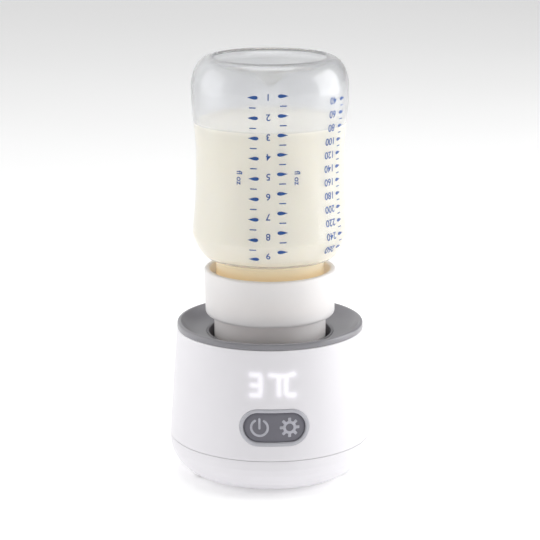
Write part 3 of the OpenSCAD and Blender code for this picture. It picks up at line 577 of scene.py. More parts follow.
def bottle_outline():
    """The bottle's outside from the top of its neck to its axis, as (radius, level): a superellipse
    shoulder, a side pinched at its waist, a superellipse crown, and a shallow sunk cone with a drop."""
    sizes = bpy.context.scene.warmer_bottle
    shoulder, bulge, body = MOUTH + 23.2 * MM, MOUTH + 33.95 * MM, CROWN - 14.2 * MM
    shoulder_radius, side_radius = BOTTLE_RADIUS - 6.4 * MM, BOTTLE_RADIUS - 0.2 * MM
    crown_radius = 26 / 35 * BOTTLE_RADIUS
    waist = bulge + 0.52 * (body - bulge)
    quarter = np.linspace(0, math.pi / 2, 40)[:, None]
    shoulder_line = superellipse(shoulder_radius, side_radius, bulge, shoulder, 1.31, quarter[::-1])
    level = np.linspace(bulge, body, 74)[1:-1, None]
    above = np.clip((level - waist) / (body - waist), 0, 1)
    below = np.clip((waist - level) / (waist - bulge), 0, 1)
    pinch = np.where(level > waist, (1 - above**2)**2.1, (1 - below**2)**1.1)
    side = side_radius + (BOTTLE_RADIUS - side_radius) * (level - bulge) / (body - bulge)
    side_line = np.hstack([side - (side_radius - sizes.waist) * pinch, level])
    crown_line = superellipse(crown_radius, BOTTLE_RADIUS, body, CROWN, 2.1, quarter)
    # The sunk crown: shares of its rim's radius, and depths below the crown in millimetres
    rim = crown_radius - 1.2 * MM
    drop = np.array([(1, 1.4), (0.93, 2.6), (0.7, 3.9), (0.42, 5.8), (0.22, 7.7), (0.11, 9.8), (0.045, 11.2),
                     (0, 11.3)])
    sunk = np.stack([rim * drop[:, 0], CROWN - drop[:, 1] * MM], 1)
    sunk = cut_corners(np.concatenate([crown_line[-1:], [[rim + 0.6 * MM, CROWN - 0.35 * MM]], sunk]))
    return np.concatenate([shoulder_line, side_line, crown_line[:-1], sunk])


def bottle_parts():
    """The bottle as one closed shell, outside then inside, with one turn of thread on its neck."""
    sizes = bpy.context.scene.warmer_bottle
    outside = bottle_outline()
    inside = inset(outside, sizes.wall)
    inside[-1, 0] = 0
    inside[:, 0] = np.maximum(inside[:, 0], 0)
    shoulder = outside[0, 1]
    bore, steps = sizes.neck - 2 * MM, 6
    mouth = rounded([(bore, MOUTH, 0.5 * MM), (sizes.neck, MOUTH, 0.5 * MM), (sizes.neck, shoulder, 0.8 * MM),
                     (sizes.neck + 2 * MM, shoulder, 0), (bore + 3 * MM, shoulder + sizes.wall, 0),
                     (bore, shoulder + sizes.wall, 1.2 * MM)], steps)
    # The outside takes the arcs of three corners and the sharp corner after them
    split = 3 * (steps + 1) + 1
    outer = [spaced(mouth[:split], 1.5 * MM, closed=False), spaced(outside, 1.6 * MM, closed=False)]
    inner = [spaced(inside, 1.6 * MM, closed=False)[::-1], mouth[split:]]
    crest = CUP_RADIUS - sizes.cup_wall - THREAD_PLAY
    thread = ridge(sizes.neck - THREAD_SINK, crest, THREAD_LEVEL - sizes.thread_pitch / 2, sizes.thread_pitch)
    return [turned(np.concatenate(outer + inner), sizes.columns), thread]


def milk_parts():
    """The milk: the inside of the bottle up to its level, wetting the wall, with a meniscus that climbs
    the wall and dies away towards the axis."""
    sizes = bpy.context.scene.warmer_bottle
    wetted = inset(bottle_outline(), sizes.wall - 0.1 * MM)
    bore, low, climb = sizes.neck - 1.9 * MM, MOUTH + 0.2 * MM, 1.1 * MM
    calm = MILK_LEVEL - climb
    radius, level = wetted.T
    side = wetted[(radius > bore) & (level > MOUTH + 24.9 * MM) & (level < calm)]
    foot = np.array([(0, low), (bore - 0.5 * MM, low), (bore, low + 0.5 * MM), (bore, side[0, 1] - 0.7 * MM),
                     (bore + 0.6 * MM, side[0, 1])])
    reach = side[-1, 0]
    across = reach - np.concatenate([[0], np.geomspace(0.1, 1, 12) * 6 * MM])
    surface = np.stack([across, calm + climb * np.exp(-(reach - across) / (1.3 * MM)) * 0.9], 1)
    outline = np.concatenate([foot, side, surface, [[0, calm]]])
    return [turned(spaced(outline, 2 * MM, closed=False), sizes.columns, closed=False)]


# ---------- print on the bottle ----------

def on_bottle(across, level, height, turn):
    """Places on the bottle's outside: across is a distance along its girth from an angle to the right of
    the front, and height is measured outwards."""
    outline = bottle_outline()
    rising = outline[:np.argmax(outline[:, 1])]
    radius = np.interp(level, rising[:, 1], rising[:, 0])
    angle = turn + across / radius
    radius = radius + height
    return np.stack(np.broadcast_arrays(radius * np.sin(angle), -radius * np.cos(angle), level), -1)


def drop_mark(long, wide, tail, turn, level, ink=0.03 * MM):
    """A drop-shaped mark: x runs with the cosine of a turn, and its height with the sine times a power of
    the half turn's sine, which makes the tail a point; rings shrink it to its middle, above and below."""
    t = np.linspace(0, 2 * math.pi, 28, endpoint=False)
    x = np.cos(t) * long / 2 * tail
    z = np.sin(t) * np.sin(t / 2)**1.6 * wide * 0.62
    ring = np.array([0, 0.6, 0.96, 1, 0.96, 0.6, 0])[:, None]
    height = np.array([1, 1, 1, 0, -1, -1, -1])[:, None] * ink
    shift = -tail * long * 0.12
    return grid(on_bottle(shift + (x - shift) * ring, level + z * ring, height + 0 * x, turn))


def bar_mark(long, wide, turn, level, ink=0.03 * MM):
    """A short straight mark: a thin pill outline shrunk to its middle, above and below."""
    x, z = around(whole_frame(long, long, 28), ((long - wide) / 2, 0), wide / 2).T
    ring = np.array([0, 0.96, 1, 0.96, 0])[:, None]
    height = np.array([1, 1, 0, -1, -1])[:, None] * ink
    return grid(on_bottle(x * ring, level + z * ring, height + 0 * x, turn))


def lettering(text, size, turn, level, upright=False, ink=0.04 * MM):
    """Plain characters: an outline font made into a mesh, centred, turned upside down or, for a label that
    runs up the bottle, by a quarter turn, and laid on the bottle."""
    curve = bpy.data.curves.new("lettering", "FONT")
    curve.body, curve.size, curve.extrude = text, size, ink
    curve.align_x, curve.align_y, curve.offset = "CENTER", "CENTER", size * 0.012
    shape = bpy.data.objects.new("lettering", curve)
    bpy.context.scene.collection.objects.link(shape)
    bpy.context.view_layer.update()
    mesh = bpy.data.meshes.new_from_object(shape.evaluated_get(bpy.context.evaluated_depsgraph_get()))
    place = vertices(mesh)
    faces = [list(face.vertices) for face in mesh.polygons]
    bpy.data.objects.remove(shape)
    bpy.data.meshes.remove(mesh)
    bpy.data.curves.remove(curve)
    across, up = (place[:, 1], -place[:, 0]) if upright else (-place[:, 0], -place[:, 1])
    return on_bottle(across, level + up, place[:, 2], turn), faces


# ---------- keys and flap ----------

def surround_parts():
    """The key surround: a section of (outward, proud) points carried round the pill of the key opening."""
    keypad = bpy.context.scene.warmer_keypad
    radius, root = KEYPAD_HEIGHT / 2, -1.4 * MM
    section = rounded([(0, root, 0), (0, keypad.proud * 0.3, 0.12 * MM), (-0.3 * MM, keypad.proud, 0.3 * MM),
                       (-keypad.ring + 0.45 * MM, keypad.proud, 0.4 * MM),
                       (-keypad.ring, -0.15 * MM, 0.3 * MM), (-keypad.ring, root, 0)], 5)
    loop = whole_frame(KEYPAD_CORE[0] + 2 * radius, 2 * radius, 160)
    rows = []
    for outward, proud in spaced(section, 0.4 * MM):
        place = around(loop, KEYPAD_CORE, radius + outward)
        rows.append(on_wall(place[:, 0], place[:, 1] + KEYPAD_LEVEL, -proud))
    return [grid(np.stack(rows), closed_rows=True)]


def key_parts(side):
    """One half of the key plate: rows from the line in its middle out to its soft edge, down its side and
    back underneath. Its depth below the wall grows with a power of the nearness to the edge."""
    keypad = bpy.context.scene.warmer_keypad
    radius = KEYPAD_HEIGHT / 2 - keypad.ring - keypad.gap
    soft, drop, thick = 1.6 * MM, 0.35 * MM, 2.6 * MM
    loop = half_frame(KEYPAD_CORE[0] + 2 * radius, 2 * radius, 110)
    inward = radius * np.concatenate([1 - np.linspace(0, 1, 9)[:-1] * (1 - soft / radius),
                                      np.linspace(soft / radius, 0, 12)])
    depth = keypad.recess + drop * np.clip(1 - inward / soft, 0, 1)**2.4
    rows = [*zip(inward, depth), (0, depth[-1] + 0.3 * MM)]
    rows += [(radius * share, thick) for share in (0, 0.5, 1)]
    grid_rows = []
    for distance, below in rows:
        place = around(loop, KEYPAD_CORE, radius - distance) * [side, 1]
        grid_rows.append(on_wall(place[:, 0], place[:, 1] + KEYPAD_LEVEL, below))
    points, faces = grid(np.stack(grid_rows), closed_columns=False)
    columns = len(loop)
    ends = [list(range(0, len(points), columns)), list(range(columns - 1, len(points), columns))]
    return [(points, faces.tolist() + ends)]


def line_on_key(path, width, centre):
    """A raised line: a low rounded section carried along a path of (x, z) points on the key plate, which
    shrinks to a point at both ends in the shape of a half circle."""
    keypad = bpy.context.scene.warmer_keypad
    along = np.gradient(path, axis=0)
    step = np.linalg.norm(along, axis=1, keepdims=True)
    across = np.stack([-along[:, 1], along[:, 0]], 1) / step
    travelled = np.concatenate([[0], np.cumsum(np.linalg.norm(np.diff(path, axis=0), axis=1))])
    left = np.minimum(travelled, travelled[-1] - travelled) / (width / 2)
    taper = np.sqrt(np.clip(1 - (1 - np.clip(left, 0, 1))**2, 0, 1))
    section = np.array([(-1, 0), (-0.86, 0.7), (-0.6, 1), (0, 1.04), (0.6, 1), (0.86, 0.7), (1, 0), (0, 0)])
    offset = section[:, 0] * taper[:, None] * width / 2
    height = section[:, 1] * np.sqrt(taper)[:, None] * keypad.line_height
    place = path[:, None] + across[:, None] * offset[..., None] + centre
    return grid(on_wall(place[..., 0], place[..., 1], keypad.recess + 0.03 * MM - height))


def power_symbol_parts(centre):
    """The power symbol: a ring that is open at its top, and an upright line through the opening."""
    turn = np.radians(np.linspace(90 - 24, 90 - 336, 120))
    ring = 3.6 * MM * np.stack([np.cos(turn), np.sin(turn)], 1)
    stem = np.stack([np.zeros(40), np.linspace(4.4, -0.8, 40)], 1) * MM
    return [line_on_key(ring, 1.1 * MM, centre), line_on_key(stem, 1.0 * MM, centre)]


def gear_on_key(centre, tip, root, hole, teeth=8):
    """A gear symbol: rings between its hole and an outer edge whose radius steps smoothly from root to
    tip with the cosine of the tooth angle."""
    keypad = bpy.context.scene.warmer_keypad
    turn = np.linspace(0, 2 * math.pi, 288, endpoint=False)
    duty = 0.08
    outer = root + (tip - root) / (1 + np.exp(-9 * (np.cos(teeth * turn) - duty)))
    rows = [(0, 0, 0), (0, 0.16, 0.7), (0, 0.32, 1), (1, -0.3, 1), (1, -0.15, 0.7), (1, 0, 0), (0.5, 0, 0)]
    points = []
    for share, shift, height in rows:
        radius = hole + (outer - hole) * share + shift * MM
        x, z = centre[0] + radius * np.sin(turn), centre[1] + radius * np.cos(turn)
        points.append(on_wall(x, z, keypad.recess + 0.03 * MM - height * keypad.line_height))
    return grid(np.stack(points), closed_rows=True)


def flap_parts():
    """The charging port's flap: a plate that follows the wall a little below it, with rounded edges, a
    round knuckle along its foot, a finger lip at its head and a plug that fills the socket's hole."""
    thick, sunk, corner, edge, knuckle_radius = 1.3 * MM, 0.25 * MM, 1.0 * MM, 0.3 * MM, 1.0 * MM
    middle = (PIN_LEVEL + FLAP_HIGH) / 2
    core = (FLAP_WIDTH / 2 - corner, (FLAP_HIGH - PIN_LEVEL) / 2 - corner)
    inside = wall_radius(SOCKET_LEVEL) - sunk - thick
    loop = whole_frame(core[0] + 3 * corner, core[1] + 3 * corner, 120)

    def wall_row(place, level, depth):
        return on_wall(place[:, 0], place[:, 1] + level, depth, BACK)

    def flat_row(place, level, depth):
        return flat(place[:, 0], place[:, 1] + level, depth)

    face, rim = around(loop, core, corner - edge), around(loop, core, corner)
    plate = [wall_row(face * share, middle, sunk) for share in (0, 0.3, 0.6, 0.85, 0.97, 1)]
    plate += [wall_row(around(loop, core, corner - out), middle, sunk + down)
              for out, down in edge_steps(edge)]
    plate += [flat_row(rim * share, middle, inside) for share in (1, 0.5, 0)]
    end, turn_edge = FLAP_WIDTH / 2, 0.2 * MM
    outline = rounded([(0, -end, 0), (knuckle_radius, -end, turn_edge), (knuckle_radius, end, turn_edge),
                       (0, end, 0)], 4)
    points, faces = turned(outline, 32, closed=False)
    knuckle = points[:, [2, 0, 1]] + [0, PIN_DEPTH, PIN_LEVEL], faces
    radius = SOCKET_HEIGHT / 2 - 0.5 * MM
    loop = around(whole_frame(SOCKET_CORE[0] + 2 * radius, 2 * radius, 48), SOCKET_CORE, radius)
    plug = [flat_row(loop * share, SOCKET_LEVEL - 0.3 * MM, inside + depth * MM)
            for share, depth in ((0.3, 0.3), (1, 0.3), (1, -0.7), (0.93, -0.95), (0, -1))]
    loop = around(whole_frame(4 * MM, 2 * MM, 48), (2 * MM, 0), 0.5 * MM)
    lip = [wall_row(loop * share, FLAP_HIGH - 1.1 * MM, sunk + depth * MM)
           for share, depth in ((0, 0.3), (1, 0.3), (1, -0.25), (0.9, -0.42), (0, -0.45))]
    return [grid(np.stack(plate)), knuckle, grid(np.stack(plug)), grid(np.stack(lip))]


# ---------- materials ----------

def linear(value, factor=1.0):
    """An sRGB hex value as linear red, green and blue times a factor, with an alpha of one."""
    shares = [int(value[i:i + 2], 16) / 255 for i in (1, 3, 5)]
    return [factor * (s / 12.92 if s <= 0.04045 else ((s + 0.055) / 1.055)**2.4) for s in shares] + [1.0]


def add_node(material, kind, links=None, values=None, **settings):
    """Adds one shader node. Links join its inputs to (node, output) pairs; values are its inputs by name
    or number; settings are its own properties."""
    node = material.node_tree.nodes.new("ShaderNode" + kind)
    for name, value in settings.items():
        setattr(node, name, value)
    for name, value in (values or {}).items():
        node.inputs[name].default_value = value
    for name, (source, output) in (links or {}).items():
        material.node_tree.links.new(source.outputs[output], node.inputs[name])
    return node


def begin(name, **values):
    """A new material: its one surface with the given values, and the object's own coordinates."""
    material = bpy.data.materials.new(name)
    material.use_nodes = True
    material.node_tree.nodes.clear()
    surface = add_node(material, "BsdfPrincipled", values={k.replace("_", " "): v for k, v in values.items()})
    add_node(material, "OutputMaterial", {"Surface": (surface, "BSDF")})
    return material, surface, add_node(material, "TexCoord")


def set_ramp(ramp, stops):
    """Gives a colour ramp its (position, colour) stops."""
    elements = ramp.color_ramp.elements
    while len(elements) < len(stops):
        elements.new(1.0)
    for element, (position, value) in zip(elements, stops):
        element.position, element.color = position, value


def join(material, surface, **sources):
    """Links (node, output) pairs to the surface's inputs, whose names have low lines for spaces."""
    for name, (source, output) in sources.items():
        material.node_tree.links.new(source.outputs[output], surface.inputs[name.replace("_", " ")])


def moulded(name, value, roughness, grain, relief, patch=16, spread=0.03, **values):
    """A moulded or extruded surface: soft patches of a slightly darker and lighter tone, a sheen that
    varies with them, and a fine grain of the mould's texture in the normal. The grain, its relief and the
    patches are in millimetres."""
    material, surface, coords = begin(name, **values)
    place = {"Vector": (coords, "Object")}
    patches = add_node(material, "TexNoise", place, {"Scale": 1 / (patch * MM), "Detail": 3.0})
    ramp = add_node(material, "ValToRGB", {"Fac": (patches, "Fac")})
    set_ramp(ramp, [(0.3, linear(value, 1 - spread)), (0.7, linear(value, 1 + spread))])
    sheen = add_node(material, "MapRange", {"Value": (patches, "Fac")},
                     {"To Min": roughness * 0.88, "To Max": roughness * 1.12})
    texture = add_node(material, "TexNoise", place, {"Scale": 1 / (grain * MM), "Detail": 2.0})
    bump = add_node(material, "Bump", {"Height": (texture, "Fac")},
                    {"Distance": relief * MM, "Strength": 0.6})
    join(material, surface, Base_Color=(ramp, "Color"), Roughness=(sheen, "Result"), Normal=(bump, "Normal"))
    return material


def drawn(name, value, roughness, spacing, stretch):
    """A drawn, rolled or brushed metal: fine scratches, spaced in millimetres and long along one axis, in
    the normal and in the sheen."""
    material, surface, coords = begin(name, Metallic=1.0)
    lines = add_node(material, "Mapping", {"Vector": (coords, "Object")}, {"Scale": stretch})
    scratches = add_node(material, "TexNoise", {"Vector": (lines, "Vector")},
                         {"Scale": 1 / (spacing * MM), "Detail": 4.0})
    ramp = add_node(material, "ValToRGB", {"Fac": (scratches, "Fac")})
    set_ramp(ramp, [(0.3, linear(value, 0.9)), (0.7, linear(value, 1.06))])
    sheen = add_node(material, "MapRange", {"Value": (scratches, "Fac")},
                     {"To Min": roughness * 0.75, "To Max": roughness * 1.3})
    bump = add_node(material, "Bump", {"Height": (scratches, "Fac")},
                    {"Distance": 0.004 * MM, "Strength": 0.5})
    join(material, surface, Base_Color=(ramp, "Color"), Roughness=(sheen, "Result"), Normal=(bump, "Normal"))
    return material


def white_abs():
    """Satin moulded ABS: a very fine spark-eroded grain, drawn at 0.35 mm so that it shows. The digits
    behind it light it through, as the glow attribute says."""
    scene = bpy.context.scene
    material = moulded("satin_moulded_white_abs", scene.warmer_shell.housing_colour, 0.38, 0.35, 0.004, 22,
                       0.012, Emission_Color=linear("#f4f1ff"), IOR=1.52)
    glow = add_node(material, "Attribute", attribute_name="glow")
    strength = add_node(material, "Math", {0: (glow, "Fac")}, {1: scene.warmer_keypad.glow},
                        operation="MULTIPLY")
    join(material, material.node_tree.nodes["Principled BSDF"], Emission_Strength=(strength, 0))
    return material


def grey_abs():
    """Fine-textured moulded ABS of the collar: satin under a thin gloss, so that the dish shades softly."""
    return moulded("textured_moulded_grey_abs", bpy.context.scene.warmer_shell.collar_colour, 0.32, 0.4,
                   0.005, 14, 0.025, Coat_Weight=0.35, Coat_Roughness=0.2)


def pale_grey_abs():
    """Moulded heat-resistant plastic of the well's sleeve: smooth and a little glossy."""
    return moulded("moulded_pale_grey_pbt", bpy.context.scene.warmer_shell.rim_colour, 0.36, 0.5, 0.005)


def silver_plastic():
    """Satin-lacquered moulded ring: an even silver grey with a soft highlight."""
    return moulded("lacquered_silver_abs", bpy.context.scene.warmer_keypad.ring_colour, 0.34, 0.3, 0.004, 9,
                   Coat_Weight=0.3, Coat_Roughness=0.3)


def dark_silicone():
    """Matt moulded silicone of the keys: soft highlights and a dusty sheen at grazing angles."""
    return moulded("matt_moulded_dark_silicone", bpy.context.scene.warmer_keypad.key_colour, 0.56, 0.3, 0.006,
                   8, 0.05, Sheen_Weight=0.15, Sheen_Roughness=0.5)


def symbol_paint():
    """Screen-printed paint on the raised symbols: pale, and slightly uneven with its grain."""
    return moulded("screen_printed_pale_paint", bpy.context.scene.warmer_keypad.symbol_colour, 0.42, 0.25,
                   0.006, 2.5, 0.12)


def scale_ink():
    """Screen-printed ink on the bottle: dense blue with a slight sheen, a little thinner here and there."""
    return moulded("screen_printed_blue_ink", bpy.context.scene.warmer_bottle.ink_colour, 0.35, 0.2, 0.003,
                   2, 0.1)


def white_polypropylene():
    """Satin moulded polypropylene of the adapter: slightly translucent, so its shadows are soft and warm."""
    return moulded("satin_moulded_white_polypropylene", bpy.context.scene.warmer_bottle.adapter_colour, 0.4,
                   0.5, 0.005, 18, 0.012, IOR=1.49, Subsurface_Weight=0.4, Subsurface_Radius=(1.0, 0.92, 0.9),
                   Subsurface_Scale=5.0 * MM)


def grey_silicone():
    """Moulded silicone seals: matt, with a soft light at their edges."""
    return moulded("moulded_grey_silicone", "#b9babf", 0.5, 0.4, 0.006, 8, 0.04, Subsurface_Weight=0.1,
                   Subsurface_Scale=MM)


def floor_paint():
    """Matt painted board of the floor: nearly white, with soft tonal patches."""
    return moulded("matt_painted_board", bpy.context.scene.warmer_stage.floor_colour, 0.7, 3, 0.02, 300, 0.01,
                   Emission_Color=linear("#ffffff"), Emission_Strength=0.22)


def clear_polypropylene():
    """Blow-moulded polypropylene: clear with a slight haze, and faint long waves from the blowing."""
    tint = bpy.context.scene.warmer_bottle.bottle_colour
    material, surface, coords = begin("blow_moulded_clear_polypropylene", Transmission_Weight=0.86, IOR=1.46)
    flow = add_node(material, "Mapping", {"Vector": (coords, "Object")}, {"Scale": (1.0, 1.0, 0.35)})
    waves = add_node(material, "TexNoise", {"Vector": (flow, "Vector")},
                     {"Scale": 1 / (14 * MM), "Detail": 1.0})
    ramp = add_node(material, "ValToRGB", {"Fac": (waves, "Fac")})
    set_ramp(ramp, [(0.3, linear(tint, 0.96)), (0.7, linear(tint))])
    haze = add_node(material, "MapRange", {"Value": (waves, "Fac")}, {"To Min": 0.13, "To Max": 0.2})
    bump = add_node(material, "Bump", {"Height": (waves, "Fac")}, {"Distance": 0.05 * MM, "Strength": 0.5})
    join(material, surface, Base_Color=(ramp, "Color"), Roughness=(haze, "Result"), Normal=(bump, "Normal"))
    return material


def milk_fill():
    """Milk: opaque and creamy, with a painted warm amber light towards the neck, where the light comes
    through the white cup. A faint painted glow stands for the light that passes through it, warmest at the
    neck and brightest at its top surface."""
    cream = bpy.context.scene.warmer_bottle.milk_colour
    neck = MOUTH + 12 * MM
    material, surface, coords = begin("warm_milk", Roughness=0.3, IOR=1.35, Emission_Strength=0.21,
                                      Subsurface_Weight=0.25, Subsurface_Radius=(1.0, 0.85, 0.6),
                                      Subsurface_Scale=3 * MM)
    parts = add_node(material, "SeparateXYZ", {"Vector": (coords, "Object")})
    soft = add_node(material, "TexNoise", {"Vector": (coords, "Object")},
                    {"Scale": 1 / (12 * MM), "Detail": 2.0})
    shifted = add_node(material, "Math", {0: (soft, "Fac"), 2: (parts, "Z")}, {1: 2 * MM},
                       operation="MULTIPLY_ADD")
    # Painted warm light: the base colour is amber at the neck and pales to the cream by 34 mm above the mouth
    height = add_node(material, "MapRange", {"Value": (shifted, 0)},
                      {"From Min": neck, "From Max": MOUTH + 34 * MM})
    ramp = add_node(material, "ValToRGB", {"Fac": (height, "Result")})
    set_ramp(ramp, [(0.0, linear("#e6bf78")), (0.4, linear("#f0dba8")), (0.72, linear(cream, 0.93)),
                    (1.0, linear(cream))])
    # Painted light in the emission: warm at the neck, even over the body, brighter at the top surface for the
    # light from above
    painted_glow_level = add_node(material, "MapRange", {"Value": (parts, "Z")},
                     {"From Min": neck, "From Max": MILK_LEVEL})
    through = add_node(material, "ValToRGB", {"Fac": (painted_glow_level, "Result")})
    set_ramp(through, [(0.0, linear("#ffdfa8", 2.0)), (0.12, linear("#fff0cd", 1.3)),
                       (0.3, linear("#fff8ea")), (0.965, linear("#fff8ea")), (0.99, linear("#fffaf0", 1.5))])
    join(material, surface, Base_Color=(ramp, "Color"), Emission_Color=(through, "Color"))
    return material


def circuit_board():
    """Etched glass-fibre board: copper tracks 0.3 mm wide, paler and raised under a green solder mask."""
    material, surface, coords = begin("etched_circuit_board", Roughness=0.3)
    tracks = add_node(material, "TexBrick", {"Vector": (coords, "Object")},
                      {"Color1": linear("#0d4a26"), "Color2": linear("#11552c"), "Mortar": linear("#2d7d49"),
                       "Scale": 1.0, "Mortar Size": 0.15 * MM, "Brick Width": 5 * MM, "Row Height": 1.6 * MM})
    bump = add_node(material, "Bump", {"Height": (tracks, "Fac")}, {"Distance": 0.03 * MM})
    join(material, surface, Base_Color=(tracks, "Color"), Normal=(bump, "Normal"))
    return material


def copper_polyimide():
    """Film heater: etched copper rings 2.4 mm apart, under amber polyimide film."""
    material, surface, coords = begin("etched_film_heater", Roughness=0.3, Coat_Weight=0.5)
    turns = add_node(material, "TexWave", {"Vector": (coords, "Object")},
                     {"Scale": math.tau / (20 * 2.4 * MM)}, wave_type="RINGS", rings_direction="Z")
    ramp = add_node(material, "ValToRGB", {"Fac": (turns, "Fac")})
    set_ramp(ramp, [(0.4, linear("#7a3d12")), (0.6, linear("#b97a2a"))])
    join(material, surface, Base_Color=(ramp, "Color"))
    return material


# Each finish by the name of its slot: the function that makes it, and what the function is given
FINISHES = {
    "white_abs": (white_abs,), "grey_abs": (grey_abs,), "pale_grey_abs": (pale_grey_abs,),
    "silver_plastic": (silver_plastic,), "dark_silicone": (dark_silicone,), "symbol_paint": (symbol_paint,),
    "scale_ink": (scale_ink,), "white_polypropylene": (white_polypropylene,), "floor_paint": (floor_paint,),
    "clear_polypropylene": (clear_polypropylene,), "milk": (milk_fill,), "circuit_board": (circuit_board,),
    "copper_polyimide": (copper_polyimide,), "grey_silicone": (grey_silicone,),
    # Moulded silicone of the flap and the seals, matt and white
    "white_silicone": (moulded, "matt_moulded_white_silicone", "#e6e5e7", 0.52, 0.4, 0.006, 8, 0.02),
    # Moulded rubber foot, matt and nearly black
    "dark_rubber": (moulded, "moulded_dark_rubber", "#3c3b3f", 0.75, 0.4, 0.012, 6, 0.1),
    # Zinc-plated screws, turned, with a bluish satin plate
    "zinc_steel": (drawn, "turned_zinc_plated_steel", "#c4c6c9", 0.32, 0.3, (1.0, 1.0, 6.0)),
    # Deep-drawn and brushed stainless steel
    "stainless_steel": (drawn, "drawn_brushed_stainless_steel", "#d0cfcc", 0.27, 0.4, (1.0, 1.0, 8.0)),
    # Rolled aluminium sheet of the heat shield, with long rolling lines
    "aluminium_sheet": (drawn, "rolled_aluminium_sheet", "#d6d8da", 0.35, 0.5, (0.12, 2.0, 1.0)),
    # Rolled nickel strip between the cells
    "nickel_strip": (drawn, "rolled_nickel_strip", "#b9b3a6", 0.3, 0.3, (0.15, 2.0, 1.0)),
    # Potted epoxy bead of the sensor
    "epoxy": (moulded, "potted_black_epoxy", "#1d1b1a", 0.25, 0.6, 0.01, 3, 0.15),
    # Heat-shrunk sleeve of the cells, glossy blue with slight ripples
    "cell_sleeve": (moulded, "heat_shrunk_blue_sleeve", "#2a63a8", 0.28, 1.5, 0.03, 20, 0.06),
    # Moulded black plastic of the holder and of the small components
    "black_plastic": (moulded, "moulded_black_abs", "#1b1b1d", 0.5, 0.4, 0.01, 9, 0.1),
    "component_plastic": (moulded, "moulded_black_epoxy", "#1a1a1b", 0.45, 0.2, 0.006, 2, 0.2),
    # White reflector block of the display, and the frosted film in front of it
    "led_module": (moulded, "moulded_white_reflector", "#dcdcde", 0.45, 0.4, 0.005, 5, 0.03),
    "diffuser_film": (moulded, "frosted_diffuser_film", "#efeff1", 0.6, 0.2, 0.006, 5, 0.02),
    # Extruded insulation of the leads, and the laminated flat cable
    "red_insulation": (moulded, "extruded_red_silicone_insulation", "#a8201c", 0.42, 0.5, 0.006, 6, 0.06),
    "yellow_insulation": (moulded, "extruded_yellow_insulation", "#d9b021", 0.4, 0.4, 0.005, 6, 0.06),
    "ribbon_cable": (moulded, "laminated_flat_cable", "#c9cbd0", 0.38, 0.5, 0.02, 4, 0.04),
}
MADE = {}


def finish(slot):
    """The finish of a slot, made the first time that it is asked for."""
    if slot not in MADE:
        make, *values = FINISHES[slot]
        MADE[slot] = make(*values)
    return MADE[slot]


# ---------- operators, one for each piece or group of like pieces ----------

class WARMER_OT_stage(bpy.types.Operator):
    """Sets the camera, four soft lights, a pale sky and a pale floor"""
    bl_idname = "warmer.stage"
    bl_label = "Stage"

    def execute(self, context):
        stage = context.scene.warmer_stage
        camera = bpy.data.objects.new("camera", bpy.data.cameras.new("camera"))
        camera.data.lens = stage.camera_lens
        camera.data.clip_end = 50
        camera.location = (-stage.camera_reach * math.sin(stage.camera_azimuth),
                           -stage.camera_reach * math.cos(stage.camera_azimuth), stage.camera_level)
        camera.rotation_euler = (math.radians(90) - stage.camera_pitch, 0, -stage.camera_azimuth)
        context.scene.collection.objects.link(camera)
        context.scene.camera = camera
        context.scene.view_settings.view_transform = "Standard"
        for name, (power, degrees, reach, level, wide, high) in LIGHTS.items():
            light = bpy.data.lights.new(name, "AREA")
            light.shape, light.size, light.size_y = "RECTANGLE", wide, high
            light.energy = getattr(stage, power)
            lamp = bpy.data.objects.new(name, light)
            angle = math.radians(degrees)
            lamp.location = (reach * math.sin(angle), -reach * math.cos(angle), level)
            aim = Vector((0, 0, (CROWN + HOUSING_LOW) / 2)) - lamp.location
            lamp.rotation_euler = aim.to_track_quat("-Z", "Y").to_euler()
            context.scene.collection.objects.link(lamp)
        world = bpy.data.worlds.new("pale_sky")
        world.use_nodes = True
        sky = world.node_tree.nodes["Background"]
        sky.inputs["Color"].default_value = linear("#ffffff")
        # The sky is brightest behind the object and to its left
        toward = add_node(world, "VectorMath", {0: (add_node(world, "TexCoord"), "Generated")},
                          {1: (-0.75, 0.66, 0)}, operation="DOT_PRODUCT")
        share = add_node(world, "MapRange", {"Value": (toward, "Value")},
                         {"From Min": 0.1, "From Max": 0.95, "To Min": stage.sky, "To Max": stage.back_sky})
        join(world, sky, Strength=(share, "Result"))
        context.scene.world = world
        # A floor 24 m across, just below the ground, so that nothing that stands on it shares its plane
        outline = np.array([[radius, -0.01 * MM] for radius in (0, 1, 12)])
        make_piece("floor", [turned(outline, 96, closed=False)], None, "floor_paint", solid=False)
        return {"FINISHED"}


class WARMER_OT_housing(bpy.types.Operator):
    """Builds the housing's wall with its key opening, port recess and lit digits"""
    bl_idname = "warmer.housing"
    bl_label = "Housing"

    def execute(self, context):
        piece = make_piece("housing_shell", housing_parts(), "warmer", "white_abs", ["housing"])
        place = vertices(piece.data)
        glow = np.where(place[:, 1] < 0, digit_glow(place[:, 0], place[:, 2]), 0)
        attribute = piece.data.attributes.new("glow", "FLOAT", "POINT")
        attribute.data.foreach_set("value", glow.astype(np.float32))
        return {"FINISHED"}


class WARMER_OT_collar(bpy.types.Operator):
    """Builds the collar with its rounded rim and its dish"""
    bl_idname = "warmer.collar"
    bl_label = "Collar"

    def execute(self, context):
        outline = spaced(collar_outline(), 1.2 * MM)
        make_piece("collar", [turned(outline)], "warmer", "grey_abs", ["top_collar"])
        return {"FINISHED"}


